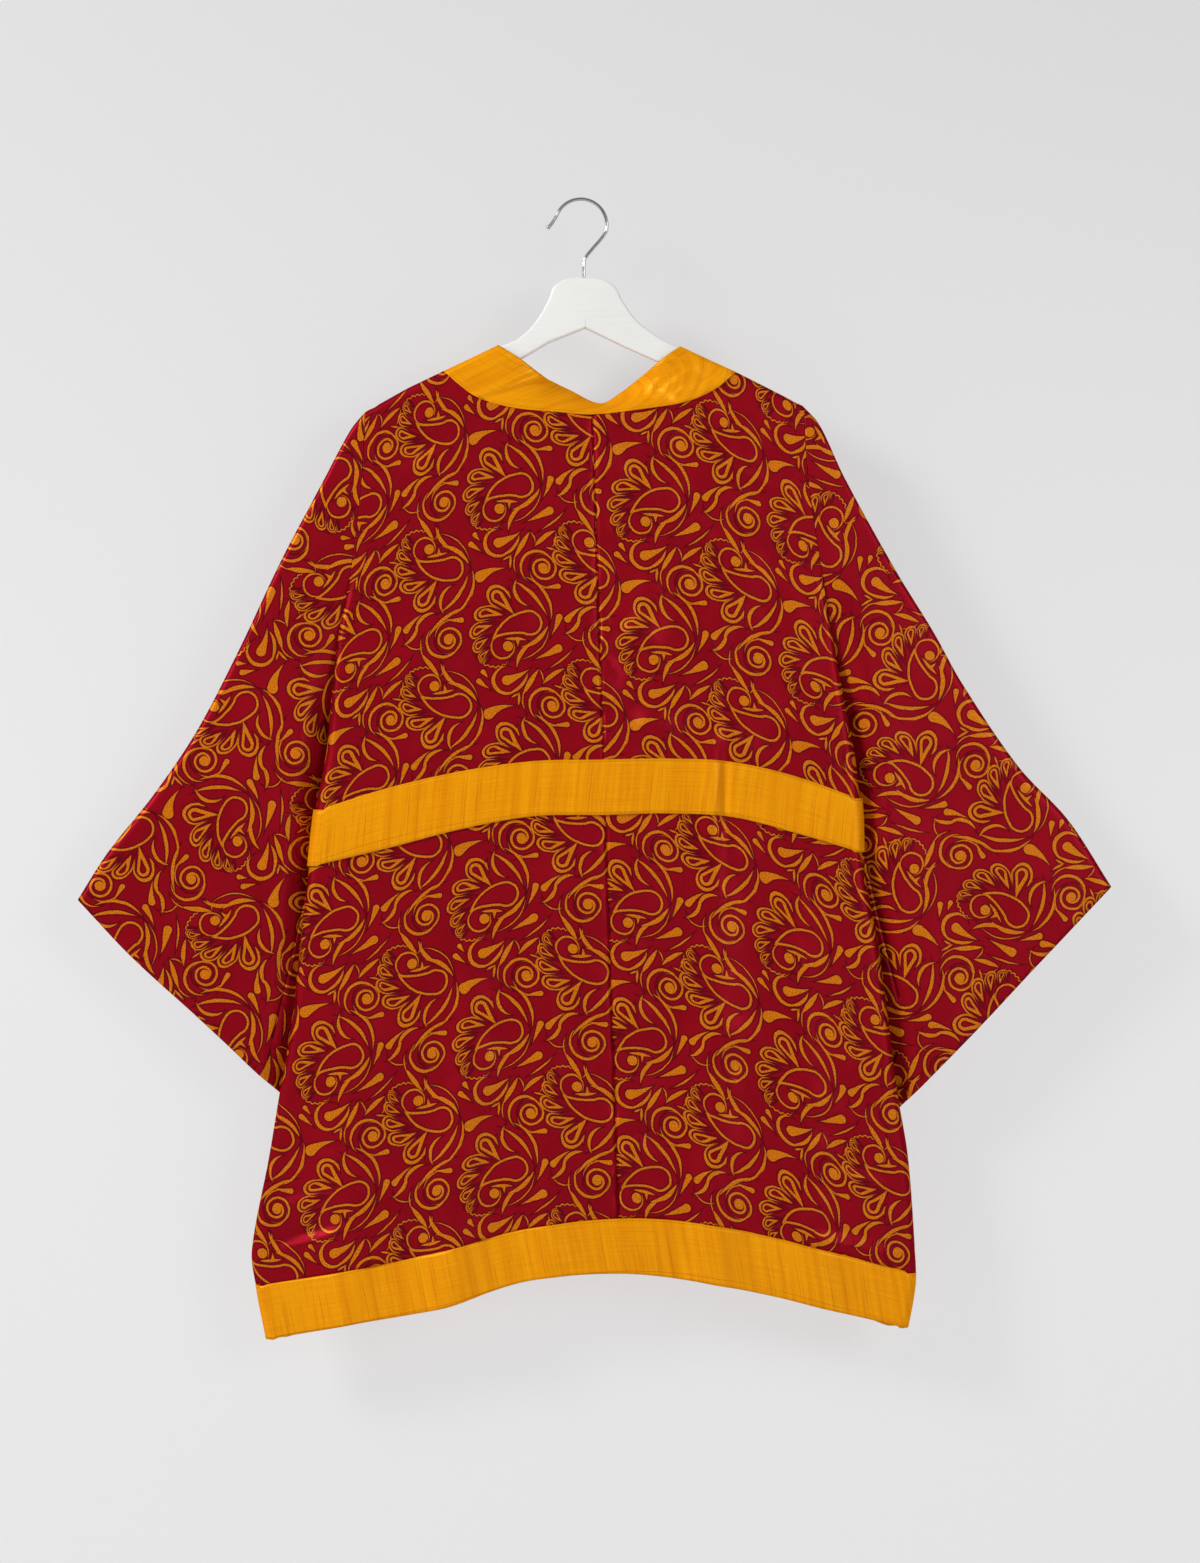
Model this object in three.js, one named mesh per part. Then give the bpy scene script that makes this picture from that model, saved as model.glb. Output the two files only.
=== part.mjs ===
// A hip-length kimono robe on a flat wooden hanger, seen from its back at -Y.
// Millimetres, +X to the viewer's right, +Z up. The origin is the underside of
// the hook's crown, where the hanger hangs.
import * as THREE from 'three';

// Driving sizes of the cloth
const CLOTH = 1.4;          // printed silk, with its turned edges
const BAND = 2.0;           // gold silk, sewn double
const SEAM_GAP = 0.3;       // pieces stand this far apart at a seam
const NECK_SEAM_GAP = 0.8;  // the neckband folds back from its seam, so it starts a little higher
const ARMHOLE_GAP = 0.45;   // between the back's edge and the sleeve
const HALF_DEPTH = 8.5;     // back and fronts hang this far from the hanger's middle plane
const FLAP = 18;            // the back turns round each side to a seam this far in
const FRONT_LIFT = 5.5;     // the fronts' hem hides behind the back's
const ARMHOLE_TOP = 207;    // depth below the origin of the shoulder's end
const ARMHOLE_CURL = 353;   // depth below the origin where the armhole starts to turn in
const UNDERARM = 541;       // depth where sleeve, side seam and armhole meet
const CUFF_HALF = 7;        // half the thickness of a flat-hanging sleeve at its cuff
const CUFF_SWING = 6.5;     // the cuff swings this far towards the wall
const TUCK_BEHIND = 13.2;   // the sleeve's lower edge hangs this far behind the body
const SEAM_STEP = 2.6;      // under the arm the sleeve starts this far behind the back's edge
const FRONT_SEAM = { left: -134.9, right: 151.1 };
const FRONT_EDGE = { left: -81.7, right: 96.8 };

// Driving sizes of the hanger
const WOOD = 12;
const WOOD_BEVEL = 2.4;
const WOOD_BELOW_CLOTH = 1.9;
const WIRE = 3.4;
const HOOK_RADIUS = 25.5;
const HOOK_CENTRE = { x: -0.7, z: -23.8 };

// Body's side folds by height
const SIDE_FOLDS = [
  { z: -1116, left: -308.9, right: 317.5 },
  { z: -1063, left: -319.1, right: 327.0 },
  { z: -1029, left: -322.9, right: 326.5 },
  { z: -937, left: -305.9, right: 319.6 },
  { z: -876, left: -295.8, right: 309.6 },
  { z: -811, left: -284.6, right: 301.5 },
  { z: -719, left: -274.4, right: 288.8 },
  { z: -654, left: -266.7, right: 276.3 },
  { z: -595, left: -259.9, right: 273.6 },
  { z: -541, left: -249.9, right: 267.0 },
  { z: -444, left: -240.1, right: 248.2 },
  { z: -354, left: -224.0, right: 233.2 },
  { z: -273, left: -214.7, right: 221.6 },
  { z: -202, left: -210.7, right: 217.0 },
];

// Shoulder line from armhole to armhole, over the hanger, as the mid cloth
const SHOULDER = [
  { x: -252.8, z: -275.6 },
  { x: -219.6, z: -215.0 },
  { x: -210.7, z: -207.2 },
  { x: -170.7, z: -184.7 },
  { x: -134.9, z: -167.5 },
  { x: -81.7, z: -142.4 },
  { x: -40.0, z: -122.0 },
  { x: 50.0, z: -122.0 },
  { x: 96.8, z: -143.6 },
  { x: 151.1, z: -168.5 },
  { x: 198.1, z: -192.3 },
  { x: 217.0, z: -202.0 },
  { x: 232.7, z: -219.5 },
  { x: 257.5, z: -271.7 },
];

// Seam where the back meets the neckband
const NECK_SEAM = [
  { x: -134.9, z: -167.5 },
  { x: -119.8, z: -180.6 },
  { x: -103.2, z: -192.5 },
  { x: -68.5, z: -203.0 },
  { x: -21.6, z: -207.6 },
  { x: 10.8, z: -209.8 },
  { x: 58.2, z: -204.7 },
  { x: 103.2, z: -197.2 },
  { x: 131.3, z: -184.7 },
  { x: 151.1, z: -168.5 },
];

// Free edge of the neckband: lean is how far it falls back towards the wall
const NECK_EDGE = [
  { x: -81.7, z: -142.4, lean: 0 },
  { x: -59.2, z: -156.3, lean: 0 },
  { x: -36.7, z: -173.7, lean: 10.5 },
  { x: -12.2, z: -187.1, lean: 33.5 },
  { x: 18.0, z: -200.7, lean: 52.5 },
  { x: 36.5, z: -191.5, lean: 40 },
  { x: 62.1, z: -170.8, lean: 11.5 },
  { x: 76.4, z: -158.3, lean: 0 },
  { x: 96.8, z: -143.6, lean: 0 },
];

// Heights of the level seams at nine even places from side fold to side fold
const LEVELS = {
  waistTop: [-598, -575, -559, -549.5, -548, -547, -550, -564, -587],
  waistLow: [-653, -635.5, -616.5, -603.6, -602.2, -600.7, -604.5, -620.6, -639.4],
  hemSeam: [-1063, -1048.5, -1030, -1007, -997, -1000.4, -1013.6, -1032, -1051.2],
  hemEdge: [-1115.7, -1100.3, -1084.7, -1058, -1050.7, -1058, -1071.9, -1088.5, -1104.6],
};

// Sleeve outlines: the fold from the shoulder to the cuff, and the cuff's edge
const SLEEVES = {
  left: {
    fold: [
      { x: -211.2, z: -207.3 },
      { x: -225.7, z: -225.3 },
      { x: -252.8, z: -275.6 },
      { x: -293.9, z: -352.9 },
      { x: -335.3, z: -439.9 },
      { x: -377.3, z: -520.1 },
      { x: -419.1, z: -581.7 },
      { x: -465.0, z: -639.4 },
      { x: -494.4, z: -685.4 },
    ],
    cuff: [
      { x: -494.4, z: -685.4 },
      { x: -440.6, z: -742.1 },
      { x: -370.2, z: -806.7 },
      { x: -314.4, z: -859.5 },
      { x: -278.2, z: -893.7 },
    ],
  },
  right: {
    fold: [
      { x: 217.8, z: -202.8 },
      { x: 232.7, z: -219.5 },
      { x: 257.5, z: -271.7 },
      { x: 307.3, z: -361.7 },
      { x: 345.2, z: -423.3 },
      { x: 373.1, z: -473.2 },
      { x: 428.9, z: -555.3 },
      { x: 477.8, z: -607.8 },
      { x: 519.8, z: -672.7 },
    ],
    cuff: [
      { x: 519.8, z: -672.7 },
      { x: 442.6, z: -754.5 },
      { x: 390.4, z: -810.6 },
      { x: 337.9, z: -864.4 },
      { x: 298.8, z: -905.5 },
    ],
  },
};

// Largest folds of the back and of the fronts: a soft ridge from top to low
const BACK_FOLDS = [
  { topX: -95, topZ: -640, lowX: -128, lowZ: -1080, width: 24, height: 9 },
  { topX: -38, topZ: -520, lowX: -30, lowZ: -1000, width: 16, height: 3 },
  { topX: 128, topZ: -480, lowX: 132, lowZ: -1060, width: 20, height: 6 },
  { topX: 205, topZ: -640, lowX: 235, lowZ: -1080, width: 22, height: 4 },
  { topX: -200, topZ: -640, lowX: -235, lowZ: -1080, width: 22, height: 3 },
];
const FRONT_FOLDS = [
  { topX: -190, topZ: -520, lowX: -205, lowZ: -1080, width: 24, height: 6 },
  { topX: 200, topZ: -560, lowX: 222, lowZ: -1080, width: 26, height: 6 },
];

const CENTRE_SEAM = { topX: 10.8, topZ: -209.8, lowX: 36.3, lowZ: -995.4 };
const SIDES = { left: -1, right: 1 };

function material(color, roughness, metalness = 0) {
  return new THREE.MeshStandardMaterial({ color, roughness, metalness });
}

const printedSilk = material(0x8e0a12, 0.55);
const goldSilk = material(0xe89a08, 0.45);
const whitePaint = material(0xe6e6e2, 0.4);
const chrome = material(0xc8c8c8, 0.15, 1);

const mix = (a, b, t) => a + (b - a) * t;

function smooth(value, from, to) {
  const t = Math.min(1, Math.max(0, (value - from) / (to - from)));
  return t * t * (3 - 2 * t);
}

// Value of column `out` where column `key` is `at`: a cubic through rows in rising order
function readTable(rows, key, out, at) {
  const last = rows.length - 1;
  const clamped = Math.min(rows[last][key], Math.max(rows[0][key], at));
  let i = 0;
  while (i < last - 1 && clamped > rows[i + 1][key]) i += 1;
  const slope = (k) => {
    const a = rows[Math.max(0, k - 1)];
    const b = rows[Math.min(last, k + 1)];
    return (b[out] - a[out]) / (b[key] - a[key]);
  };
  const span = rows[i + 1][key] - rows[i][key];
  const t = (clamped - rows[i][key]) / span;
  const h = t * t * (3 - 2 * t);
  return mix(rows[i][out], rows[i + 1][out], h)
    + span * (t * (1 - t) * (1 - t) * slope(i) - t * t * (1 - t) * slope(i + 1));
}

const shoulderZ = (x) => {
  const last = SHOULDER.length - 1;
  const i = Math.max(1, SHOULDER.findIndex((row, k) => row.x >= x || k === last));
  const a = SHOULDER[i - 1];
  const b = SHOULDER[i];
  return mix(a.z, b.z, (x - a.x) / (b.x - a.x));
};
const foldX = (side, z) => readTable(SIDE_FOLDS, 'z', side, z);
const centreX = (z) => mix(CENTRE_SEAM.topX, CENTRE_SEAM.lowX,
  (CENTRE_SEAM.topZ - z) / (CENTRE_SEAM.topZ - CENTRE_SEAM.lowZ));

// Top of the body at x: the shoulder line, or the neck seam between its corners
function topZ(x) {
  const inNeck = x > FRONT_SEAM.left && x < FRONT_SEAM.right;
  return inNeck ? readTable(NECK_SEAM, 'x', 'z', x) : shoulderZ(x);
}

// Height of a level seam at x
function levelZ(level, x) {
  const heights = LEVELS[level];
  const middle = heights[4];
  const left = foldX('left', heights[0]);
  const right = foldX('right', heights[8]);
  const centre = centreX(middle);
  const place = x < centre ? 4 * (x - left) / (centre - left)
    : 4 + 4 * (x - centre) / (right - centre);
  return readTable(heights.map((z, k) => ({ k, z })), 'k', 'z', place);
}

// Cloth bends over the hanger's arm: 0 at the shoulder line, 1 a half depth below it
function overArm(below) {
  const t = Math.min(1, Math.max(0, below / HALF_DEPTH));
  return Math.cbrt(1 - (1 - t) ** 3);
}

// Distance of the cloth from the hanger's middle plane at a place
const bentDepth = (x, z) => SEAM_GAP / 2
  + (HALF_DEPTH - SEAM_GAP / 2) * overArm(shoulderZ(x) - z);

// Depth that the folds of a table add at a place
function foldDepth(folds, x, z) {
  return folds.reduce((sum, f) => {
    const t = (z - f.topZ) / (f.lowZ - f.topZ);
    const across = (x - mix(f.topX, f.lowX, t)) / f.width;
    return sum + f.height * smooth(t, 0, 0.6) * Math.exp(-across * across);
  }, 0);
}

// How far the back has turned in round the side at a height: 0 at the shoulder, 1 below the arm
const turnIn = (z) => smooth(-z, ARMHOLE_CURL, UNDERARM);

// Section of the back round its side fold, from the seam to the flat back
function sideSection(turned) {
  const open = [0, 0.9, 2.1, 3.5, 5.1, 6.8, 8.5].map((d) => ({ d, y: -HALF_DEPTH }));
  const round = [180, 135, 90, 45, 0].map((degrees) => {
    const angle = THREE.MathUtils.degToRad(degrees);
    return { d: HALF_DEPTH * (1 - Math.sin(angle)), y: -HALF_DEPTH * Math.cos(angle) };
  });
  const turn = [{ d: FLAP, y: HALF_DEPTH }, { d: 13, y: HALF_DEPTH }, ...round];
  const section = open.map((p, k) => ({
    d: mix(p.d, turn[k].d, turned),
    y: mix(p.y, turn[k].y, turned),
  }));
  const least = Math.min(...section.map((p) => p.d));
  return section.map((p) => ({ d: p.d - least, y: p.y }));
}

const edgeOffset = (z) => sideSection(turnIn(z))[0].d;

// Closed wall about a grid of points. `ring` joins its last column to its first.
function wall(name, grid, thickness, look, ring = false) {
  const across = grid.length;
  const down = grid[0].length;
  const at = (i, j) => grid[ring ? (i + across) % across : Math.min(across - 1, Math.max(0, i))]
    [Math.min(down - 1, Math.max(0, j))];
  const positions = [];
  for (const face of [1, -1]) {
    for (let i = 0; i < across; i += 1) {
      for (let j = 0; j < down; j += 1) {
        const alongI = at(i + 1, j).clone().sub(at(i - 1, j));
        const alongJ = at(i, j + 1).clone().sub(at(i, j - 1));
        const normal = alongI.cross(alongJ).normalize();
        const point = at(i, j).clone().addScaledVector(normal, face * thickness / 2);
        positions.push(point.x, point.y, point.z);
      }
    }
  }
  const outer = (i, j) => (i % across) * down + j;
  const inner = (i, j) => across * down + outer(i, j);
  const faces = [];
  const quad = (a, b, c, d) => faces.push(a, b, c, a, c, d);
  const strips = ring ? across : across - 1;
  for (let i = 0; i < strips; i += 1) {
    for (let j = 0; j < down - 1; j += 1) {
      quad(outer(i, j), outer(i + 1, j), outer(i + 1, j + 1), outer(i, j + 1));
      quad(inner(i, j), inner(i, j + 1), inner(i + 1, j + 1), inner(i + 1, j));
    }
    const end = down - 1;
    quad(outer(i, 0), inner(i, 0), inner(i + 1, 0), outer(i + 1, 0));
    quad(outer(i, end), outer(i + 1, end), inner(i + 1, end), inner(i, end));
  }
  if (!ring) {
    const end = across - 1;
    for (let j = 0; j < down - 1; j += 1) {
      quad(outer(0, j), outer(0, j + 1), inner(0, j + 1), inner(0, j));
      quad(outer(end, j), inner(end, j), inner(end, j + 1), outer(end, j + 1));
    }
  }
  const geometry = new THREE.BufferGeometry();
  geometry.setAttribute('position', new THREE.Float32BufferAttribute(positions, 3));
  geometry.setIndex(faces);
  const mesh = new THREE.Mesh(geometry, look);
  mesh.name = name;
  return mesh;
}

// Rows of the cloth from the shoulder down: below the top edge first, then between level seams
const OVER_ARM_ROWS = [0, 0.35, 1.2, 3.5, HALF_DEPTH];
const BODY_ROWS = [
  ...OVER_ARM_ROWS.map((below) => ({ from: 'top', to: 'top', part: 0, below })),
  ...[1, 2, 3, 4, 5, 6, 7, 8].map((k) => ({ from: 'top', to: 'waistTop', part: k / 8 })),
  ...[0.5, 1].map((part) => ({ from: 'waistTop', to: 'waistLow', part })),
  ...[1, 2, 3, 4, 5, 6, 7, 8].map((k) => ({ from: 'waistLow', to: 'hemSeam', part: k / 8 })),
];
const WAIST_ROWS = [0, 0.5, 1].map((part) => ({ from: 'waistTop', to: 'waistLow', part }));
const HEM_ROWS = [0, 0.5, 1].map((part) => ({
  from: 'hemSeam', to: 'hemEdge', part, drop: SEAM_GAP * (1 - part),
}));

// Height of a row in a column whose place at each level is given by columnX
function rowZ(row, columnX) {
  const heightAt = (level) => (level === 'top' ? topZ(columnX(level)) : levelZ(level, columnX(level)));
  const lowered = row.from === 'top' && row.part > 0 ? HALF_DEPTH * (1 - row.part) : (row.below ?? 0);
  return mix(heightAt(row.from), heightAt(row.to), row.part) - lowered - (row.drop ?? 0);
}

// How far a row moves up, so that the column's top lies on the top line at its own x: fully at
// the top, and not at all from the waistband down. xAt gives the column's x at a height.
function topShift(row, columnX, xAt) {
  if (row.from !== 'top') return 0;
  const z = topZ(columnX('top'));
  return (topZ(xAt(z)) - z) * (1 - row.part);
}

const levelFoldZ = (level, side) => {
  if (level === 'top') return -ARMHOLE_TOP;
  return LEVELS[level][side === 'left' ? 0 : 8];
};
const levelCentreZ = (level) => (level === 'top' ? CENTRE_SEAM.topZ : LEVELS[level][4]);

// Columns of half a back, side seam to centre seam, as share of the flat part or place in the turn
function halfColumns(side) {
  const edge = foldX(side, -ARMHOLE_TOP) - SIDES[side] * HALF_DEPTH;
  const corner = (FRONT_SEAM[side] - edge) / (CENTRE_SEAM.topX - edge);
  const shares = [
    ...[0.34, 0.67, 1].map((t) => corner * t),
    ...[0.003, 0.01, 0.025, 0.05, 0.1, 0.18, 0.3, 0.44, 0.58, 0.72, 0.86, 1]
      .map((t) => mix(corner, 1, t)),
  ];
  return [
    ...[0, 1, 2, 3, 4, 5, 6].map((turn) => ({ turn })),
    ...shares.map((share) => ({ share })),
  ];
}

// A point of the back, moved out of its face by `proud`
function backPoint(side, column, row, centreGap) {
  const sign = SIDES[side];
  const inTurn = column.share === undefined;
  const columnX = (level) => {
    const fold = foldX(side, levelFoldZ(level, side));
    if (inTurn) return fold - sign * 0.4 * column.turn;
    const flat = fold - sign * HALF_DEPTH;
    return mix(flat, centreX(levelCentreZ(level)), column.share);
  };
  const inFlat = (height) => foldX(side, height) - sign * sideSection(turnIn(height))[6].d;
  const xAt = (height) => {
    if (!inTurn) return mix(inFlat(height), centreX(height) + sign * centreGap, column.share);
    return foldX(side, height) - sign * sideSection(turnIn(height))[column.turn].d;
  };
  const rowHeight = rowZ(row, columnX);
  const x = xAt(rowHeight);
  const z = rowHeight + topShift(row, columnX, xAt);
  if (inTurn) {
    const bend = overArm(shoulderZ(x) - z);
    const { y } = sideSection(turnIn(rowHeight))[column.turn];
    return new THREE.Vector3(x, mix(-SEAM_GAP / 2, y, bend), z);
  }
  const flat = inFlat(rowHeight);
  const fade = smooth(Math.abs(x - flat), 0, 30);
  return new THREE.Vector3(x, -bentDepth(x, z) - fade * foldDepth(BACK_FOLDS, x, z), z);
}

// Grid of half a back for some rows, side seam first
const halfBack = (side, rows, centreGap) => halfColumns(side)
  .map((column) => rows.map((row) => backPoint(side, column, row, centreGap)));

// Grid across the whole back, left side seam to right side seam
function wholeBack(rows) {
  const left = halfBack('left', rows, 0);
  const right = halfBack('right', rows, 0).reverse().slice(1);
  return [...left, ...right];
}

// Moves every point of a grid out of its face, away from the hanger
function movedOut(grid, distance) {
  return grid.map((column, i) => column.map((point, j) => {
    const before = grid[Math.max(0, i - 1)][j];
    const after = grid[Math.min(grid.length - 1, i + 1)][j];
    const above = column[Math.max(0, j - 1)];
    const below = column[Math.min(column.length - 1, j + 1)];
    const normal = above.clone().sub(below).cross(after.clone().sub(before)).normalize();
    return point.clone().addScaledVector(normal, -distance);
  }));
}

// Outer edge of a front, beside the back's own edge: armhole above the underarm, side seam below
function frontSideX(side, z) {
  return foldX(side, z) - SIDES[side] * (edgeOffset(z) + SEAM_GAP * turnIn(z));
}

function frontPoint(side, share, row) {
  const sign = SIDES[side];
  const inner = FRONT_SEAM[side] + sign * SEAM_GAP;
  const columnX = (level) => mix(foldX(side, levelFoldZ(level, side)), inner, share);
  const level = rowZ(row, columnX);
  const lifted = level + FRONT_LIFT * smooth(share, 0, 0.3) * smooth(-level, UNDERARM, 900);
  const xAt = (height) => mix(frontSideX(side, height), inner, share);
  const x = xAt(lifted);
  const z = lifted + topShift(row, columnX, xAt);
  const fade = smooth(share, 0.1, 0.4) * smooth(1 - share, 0, 0.3);
  return new THREE.Vector3(x, bentDepth(x, z) + fade * foldDepth(FRONT_FOLDS, x, z), z);
}

const frontGrid = (side, rows) => [0, 0.12, 0.25, 0.38, 0.5, 0.62, 0.75, 0.88, 1]
  .map((share) => rows.map((row) => frontPoint(side, share, row)));

// Long band down a front, from the shoulder to the hem's lower edge
function frontBand(side) {
  const rows = [
    ...BODY_ROWS,
    { from: 'hemSeam', to: 'hemEdge', part: 0.5 },
    { from: 'hemSeam', to: 'hemEdge', part: 1 },
  ];
  return [0, 0.25, 0.5, 0.75, 1].map((share) => rows.map((row) => {
    const x = mix(FRONT_SEAM[side], FRONT_EDGE[side], share);
    const columnX = () => x;
    const shoulder = shoulderZ(x);
    const below = row.below ?? HALF_DEPTH * (1 - row.part);
    const z = row.from === 'top' ? mix(shoulder, levelZ('waistTop', x), row.part) - below
      : rowZ(row, columnX) + FRONT_LIFT * smooth(-rowZ(row, columnX), UNDERARM, 900);
    return new THREE.Vector3(x, bentDepth(x, z), z);
  }));
}

const curveOf = (rows) => new THREE.CatmullRomCurve3(
  rows.map((row) => new THREE.Vector3(row.x, 0, row.z)),
);

// Neckband across the back: straight from the neck seam to the free edge, falling back
const NECKBAND_COLUMNS = [0, 0.003, 0.01, 0.025, 0.05, 0.09, 0.14, 0.2, 0.27, 0.34, 0.42];
const NECKBAND_ROWS = [0, 0.06, 0.2, 0.4, 0.6, 0.8, 1];

function neckbandGrid() {
  const seam = curveOf(NECK_SEAM);
  const edge = curveOf(NECK_EDGE);
  const mirrored = NECKBAND_COLUMNS.map((part) => 1 - part).reverse();
  return [...NECKBAND_COLUMNS, 0.5, ...mirrored].map((part) => {
    const low = seam.getPointAt(part);
    const high = edge.getPointAt(part);
    const lean = readTable(NECK_EDGE, 'x', 'lean', high.x);
    low.z += NECK_SEAM_GAP;
    return NECKBAND_ROWS.map((t) => {
      const p = low.clone().lerp(high, t);
      p.y = lean * t * t * (1.6 - 0.6 * t) - bentDepth(p.x, p.z);
      return p;
    });
  });
}

// A sleeve is a closed ring from armhole to cuff. Each ring runs down the back layer
// from the fold to the lower edge, then up the front layer.
const SLEEVE_RINGS = [0, 0.02, 0.045, 0.08, 0.13, 0.2, 0.3, 0.42, 0.54, 0.66, 0.78, 0.89, 1];
const FROM_FOLD = [0, 0.35, 1.2, 3.5, HALF_DEPTH, 20];
const SHARES_DOWN = [0.13, 0.25, 0.38, 0.51, 0.64, 0.76];
const FROM_LOWER_EDGE = [46, 30, 18, 8, 2.5, 0.7, 0];
const LOWER_ROUND = 2.5;

function sleevePoint(side, layer, r, step) {
  const sign = SIDES[side];
  const fold = curveOf(SLEEVES[side].fold);
  const cuff = curveOf(SLEEVES[side].cuff);
  const top = fold.getPointAt(r);
  const armTop = fold.getPointAt(0);
  const cuffTop = fold.getPointAt(1);
  const cuffLow = cuff.getPointAt(1);
  const underX = foldX(side, -UNDERARM) - sign * (FLAP - 0.2);
  const under = new THREE.Vector3(underX, 0, -UNDERARM);
  const low = under.clone().lerp(cuffLow, r);
  const length = top.distanceTo(low);
  const s = step.share ?? (step.fromFold !== undefined ? step.fromFold / length
    : 1 - step.fromLow / length);
  const seamZ = mix(armTop.z, under.z, s);
  const backX = foldX(side, seamZ) - sign * (edgeOffset(seamZ) - ARMHOLE_GAP);
  const seamX = layer === 'back' ? backX : frontSideX(side, seamZ) + sign * ARMHOLE_GAP;
  const seam = new THREE.Vector3(mix(seamX, underX, smooth(s, 0.97, 1)), 0, seamZ);
  const mouth = cuff.getPointAt(s);
  const ruled = seam.multiplyScalar(1 - r).addScaledVector(mouth, r);
  const hung = top.clone().multiplyScalar(1 - s).addScaledVector(low, s);
  const corners = armTop.multiplyScalar((1 - r) * (1 - s)).addScaledVector(cuffTop, r * (1 - s))
    .addScaledVector(under, (1 - r) * s).addScaledVector(cuffLow, r * s);
  const p = ruled.add(hung).sub(corners);
  const turned = turnIn(p.z);
  const lowered = smooth(-p.z, UNDERARM, UNDERARM + 40);
  const hidden = 1 - smooth(sign * (p.x - foldX(side, p.z)), -4, 30);
  const hiddenY = mix(-HALF_DEPTH, HALF_DEPTH, turned) + SEAM_STEP * smooth(turned, 0, 0.06)
    + (TUCK_BEHIND - HALF_DEPTH - SEAM_STEP) * lowered;
  const hiddenHalf = mix(HALF_DEPTH, 1.4, turned) + lowered;
  const freeHalf = mix(HALF_DEPTH, CUFF_HALF, r);
  const backY = mix(-freeHalf + CUFF_SWING * smooth(r, 0, 1), hiddenY, hidden);
  const half = mix(freeHalf, hiddenHalf, hidden);
  const fromLow = Math.min(1, (1 - s) * length / LOWER_ROUND);
  const rounded = overArm(s * length) * Math.sqrt(1 - (1 - fromLow) ** 2);
  p.y = backY + half + (layer === 'back' ? -1 : 1) * half * rounded;
  return p;
}

function sleeveGrid(side) {
  const steps = [
    ...FROM_FOLD.map((fromFold) => ({ fromFold })),
    ...SHARES_DOWN.map((share) => ({ share })),
    ...FROM_LOWER_EDGE.map((fromLow) => ({ fromLow })),
  ];
  const around = [
    ...steps.map((step) => ({ layer: 'back', step })),
    ...steps.slice(1, -1).reverse().map((step) => ({ layer: 'front', step })),
  ];
  return around.map(({ layer, step }) => SLEEVE_RINGS.map((r) => sleevePoint(side, layer, r, step)));
}

// The hanger's outline, its middle rising to a neck that takes the hook
const HANGER_NECK = [
  { x: -63.1, z: -136.4 },
  { x: -51.4, z: -126.6 },
  { x: -41.9, z: -114.5 },
  { x: -32.2, z: -97.1 },
  { x: -27.5, z: -85.0 },
  { x: -14.8, z: -76.9 },
  { x: 2.6, z: -75.9 },
  { x: 20.1, z: -77.2 },
  { x: 33.0, z: -85.0 },
  { x: 39.4, z: -97.1 },
  { x: 52.9, z: -116.5 },
  { x: 64.6, z: -126.6 },
  { x: 78.1, z: -136.2 },
];
const HANGER_END = { left: { x: -208.5, z: -219.5 }, right: { x: 215, z: -214 } };
const HANGER_END_RADIUS = 8;
const HANGER_UNDERSIDE = [
  { x: 74.2, z: -158.1 },
  { x: 37.5, z: -141.6 },
  { x: 3.6, z: -125.2 },
  { x: -32.2, z: -139.7 },
  { x: -58.3, z: -155.1 },
];

function hangerWood() {
  const points = [];
  const add = (x, z) => points.push(new THREE.Vector2(x, z));
  const roundEnd = (end, fromDegrees, toDegrees) => {
    for (let k = 0; k <= 6; k += 1) {
      const angle = THREE.MathUtils.degToRad(mix(fromDegrees, toDegrees, k / 6));
      add(end.x + HANGER_END_RADIUS * Math.cos(angle), end.z + HANGER_END_RADIUS * Math.sin(angle));
    }
  };
  roundEnd(HANGER_END.left, 270, 120);
  for (const x of [-190, -170.7, -134.9, -81.7]) add(x, shoulderZ(x) - WOOD_BELOW_CLOTH);
  const neck = curveOf(HANGER_NECK);
  for (const p of neck.getSpacedPoints(22)) add(p.x, p.z);
  for (const x of [96.8, 151.1, 198.1]) add(x, shoulderZ(x) - WOOD_BELOW_CLOTH);
  roundEnd(HANGER_END.right, 60, -90);
  for (const row of HANGER_UNDERSIDE) add(row.x, row.z);
  const geometry = new THREE.ExtrudeGeometry(new THREE.Shape(points), {
    depth: WOOD - 2 * WOOD_BEVEL,
    bevelThickness: WOOD_BEVEL,
    bevelSize: WOOD_BEVEL,
    bevelOffset: -WOOD_BEVEL,
    bevelSegments: 2,
    curveSegments: 1,
  });
  const mesh = new THREE.Mesh(geometry, whitePaint);
  mesh.name = 'hanger_wood';
  mesh.rotation.x = Math.PI / 2;
  mesh.position.y = WOOD / 2 - WOOD_BEVEL;
  return mesh;
}

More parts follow.
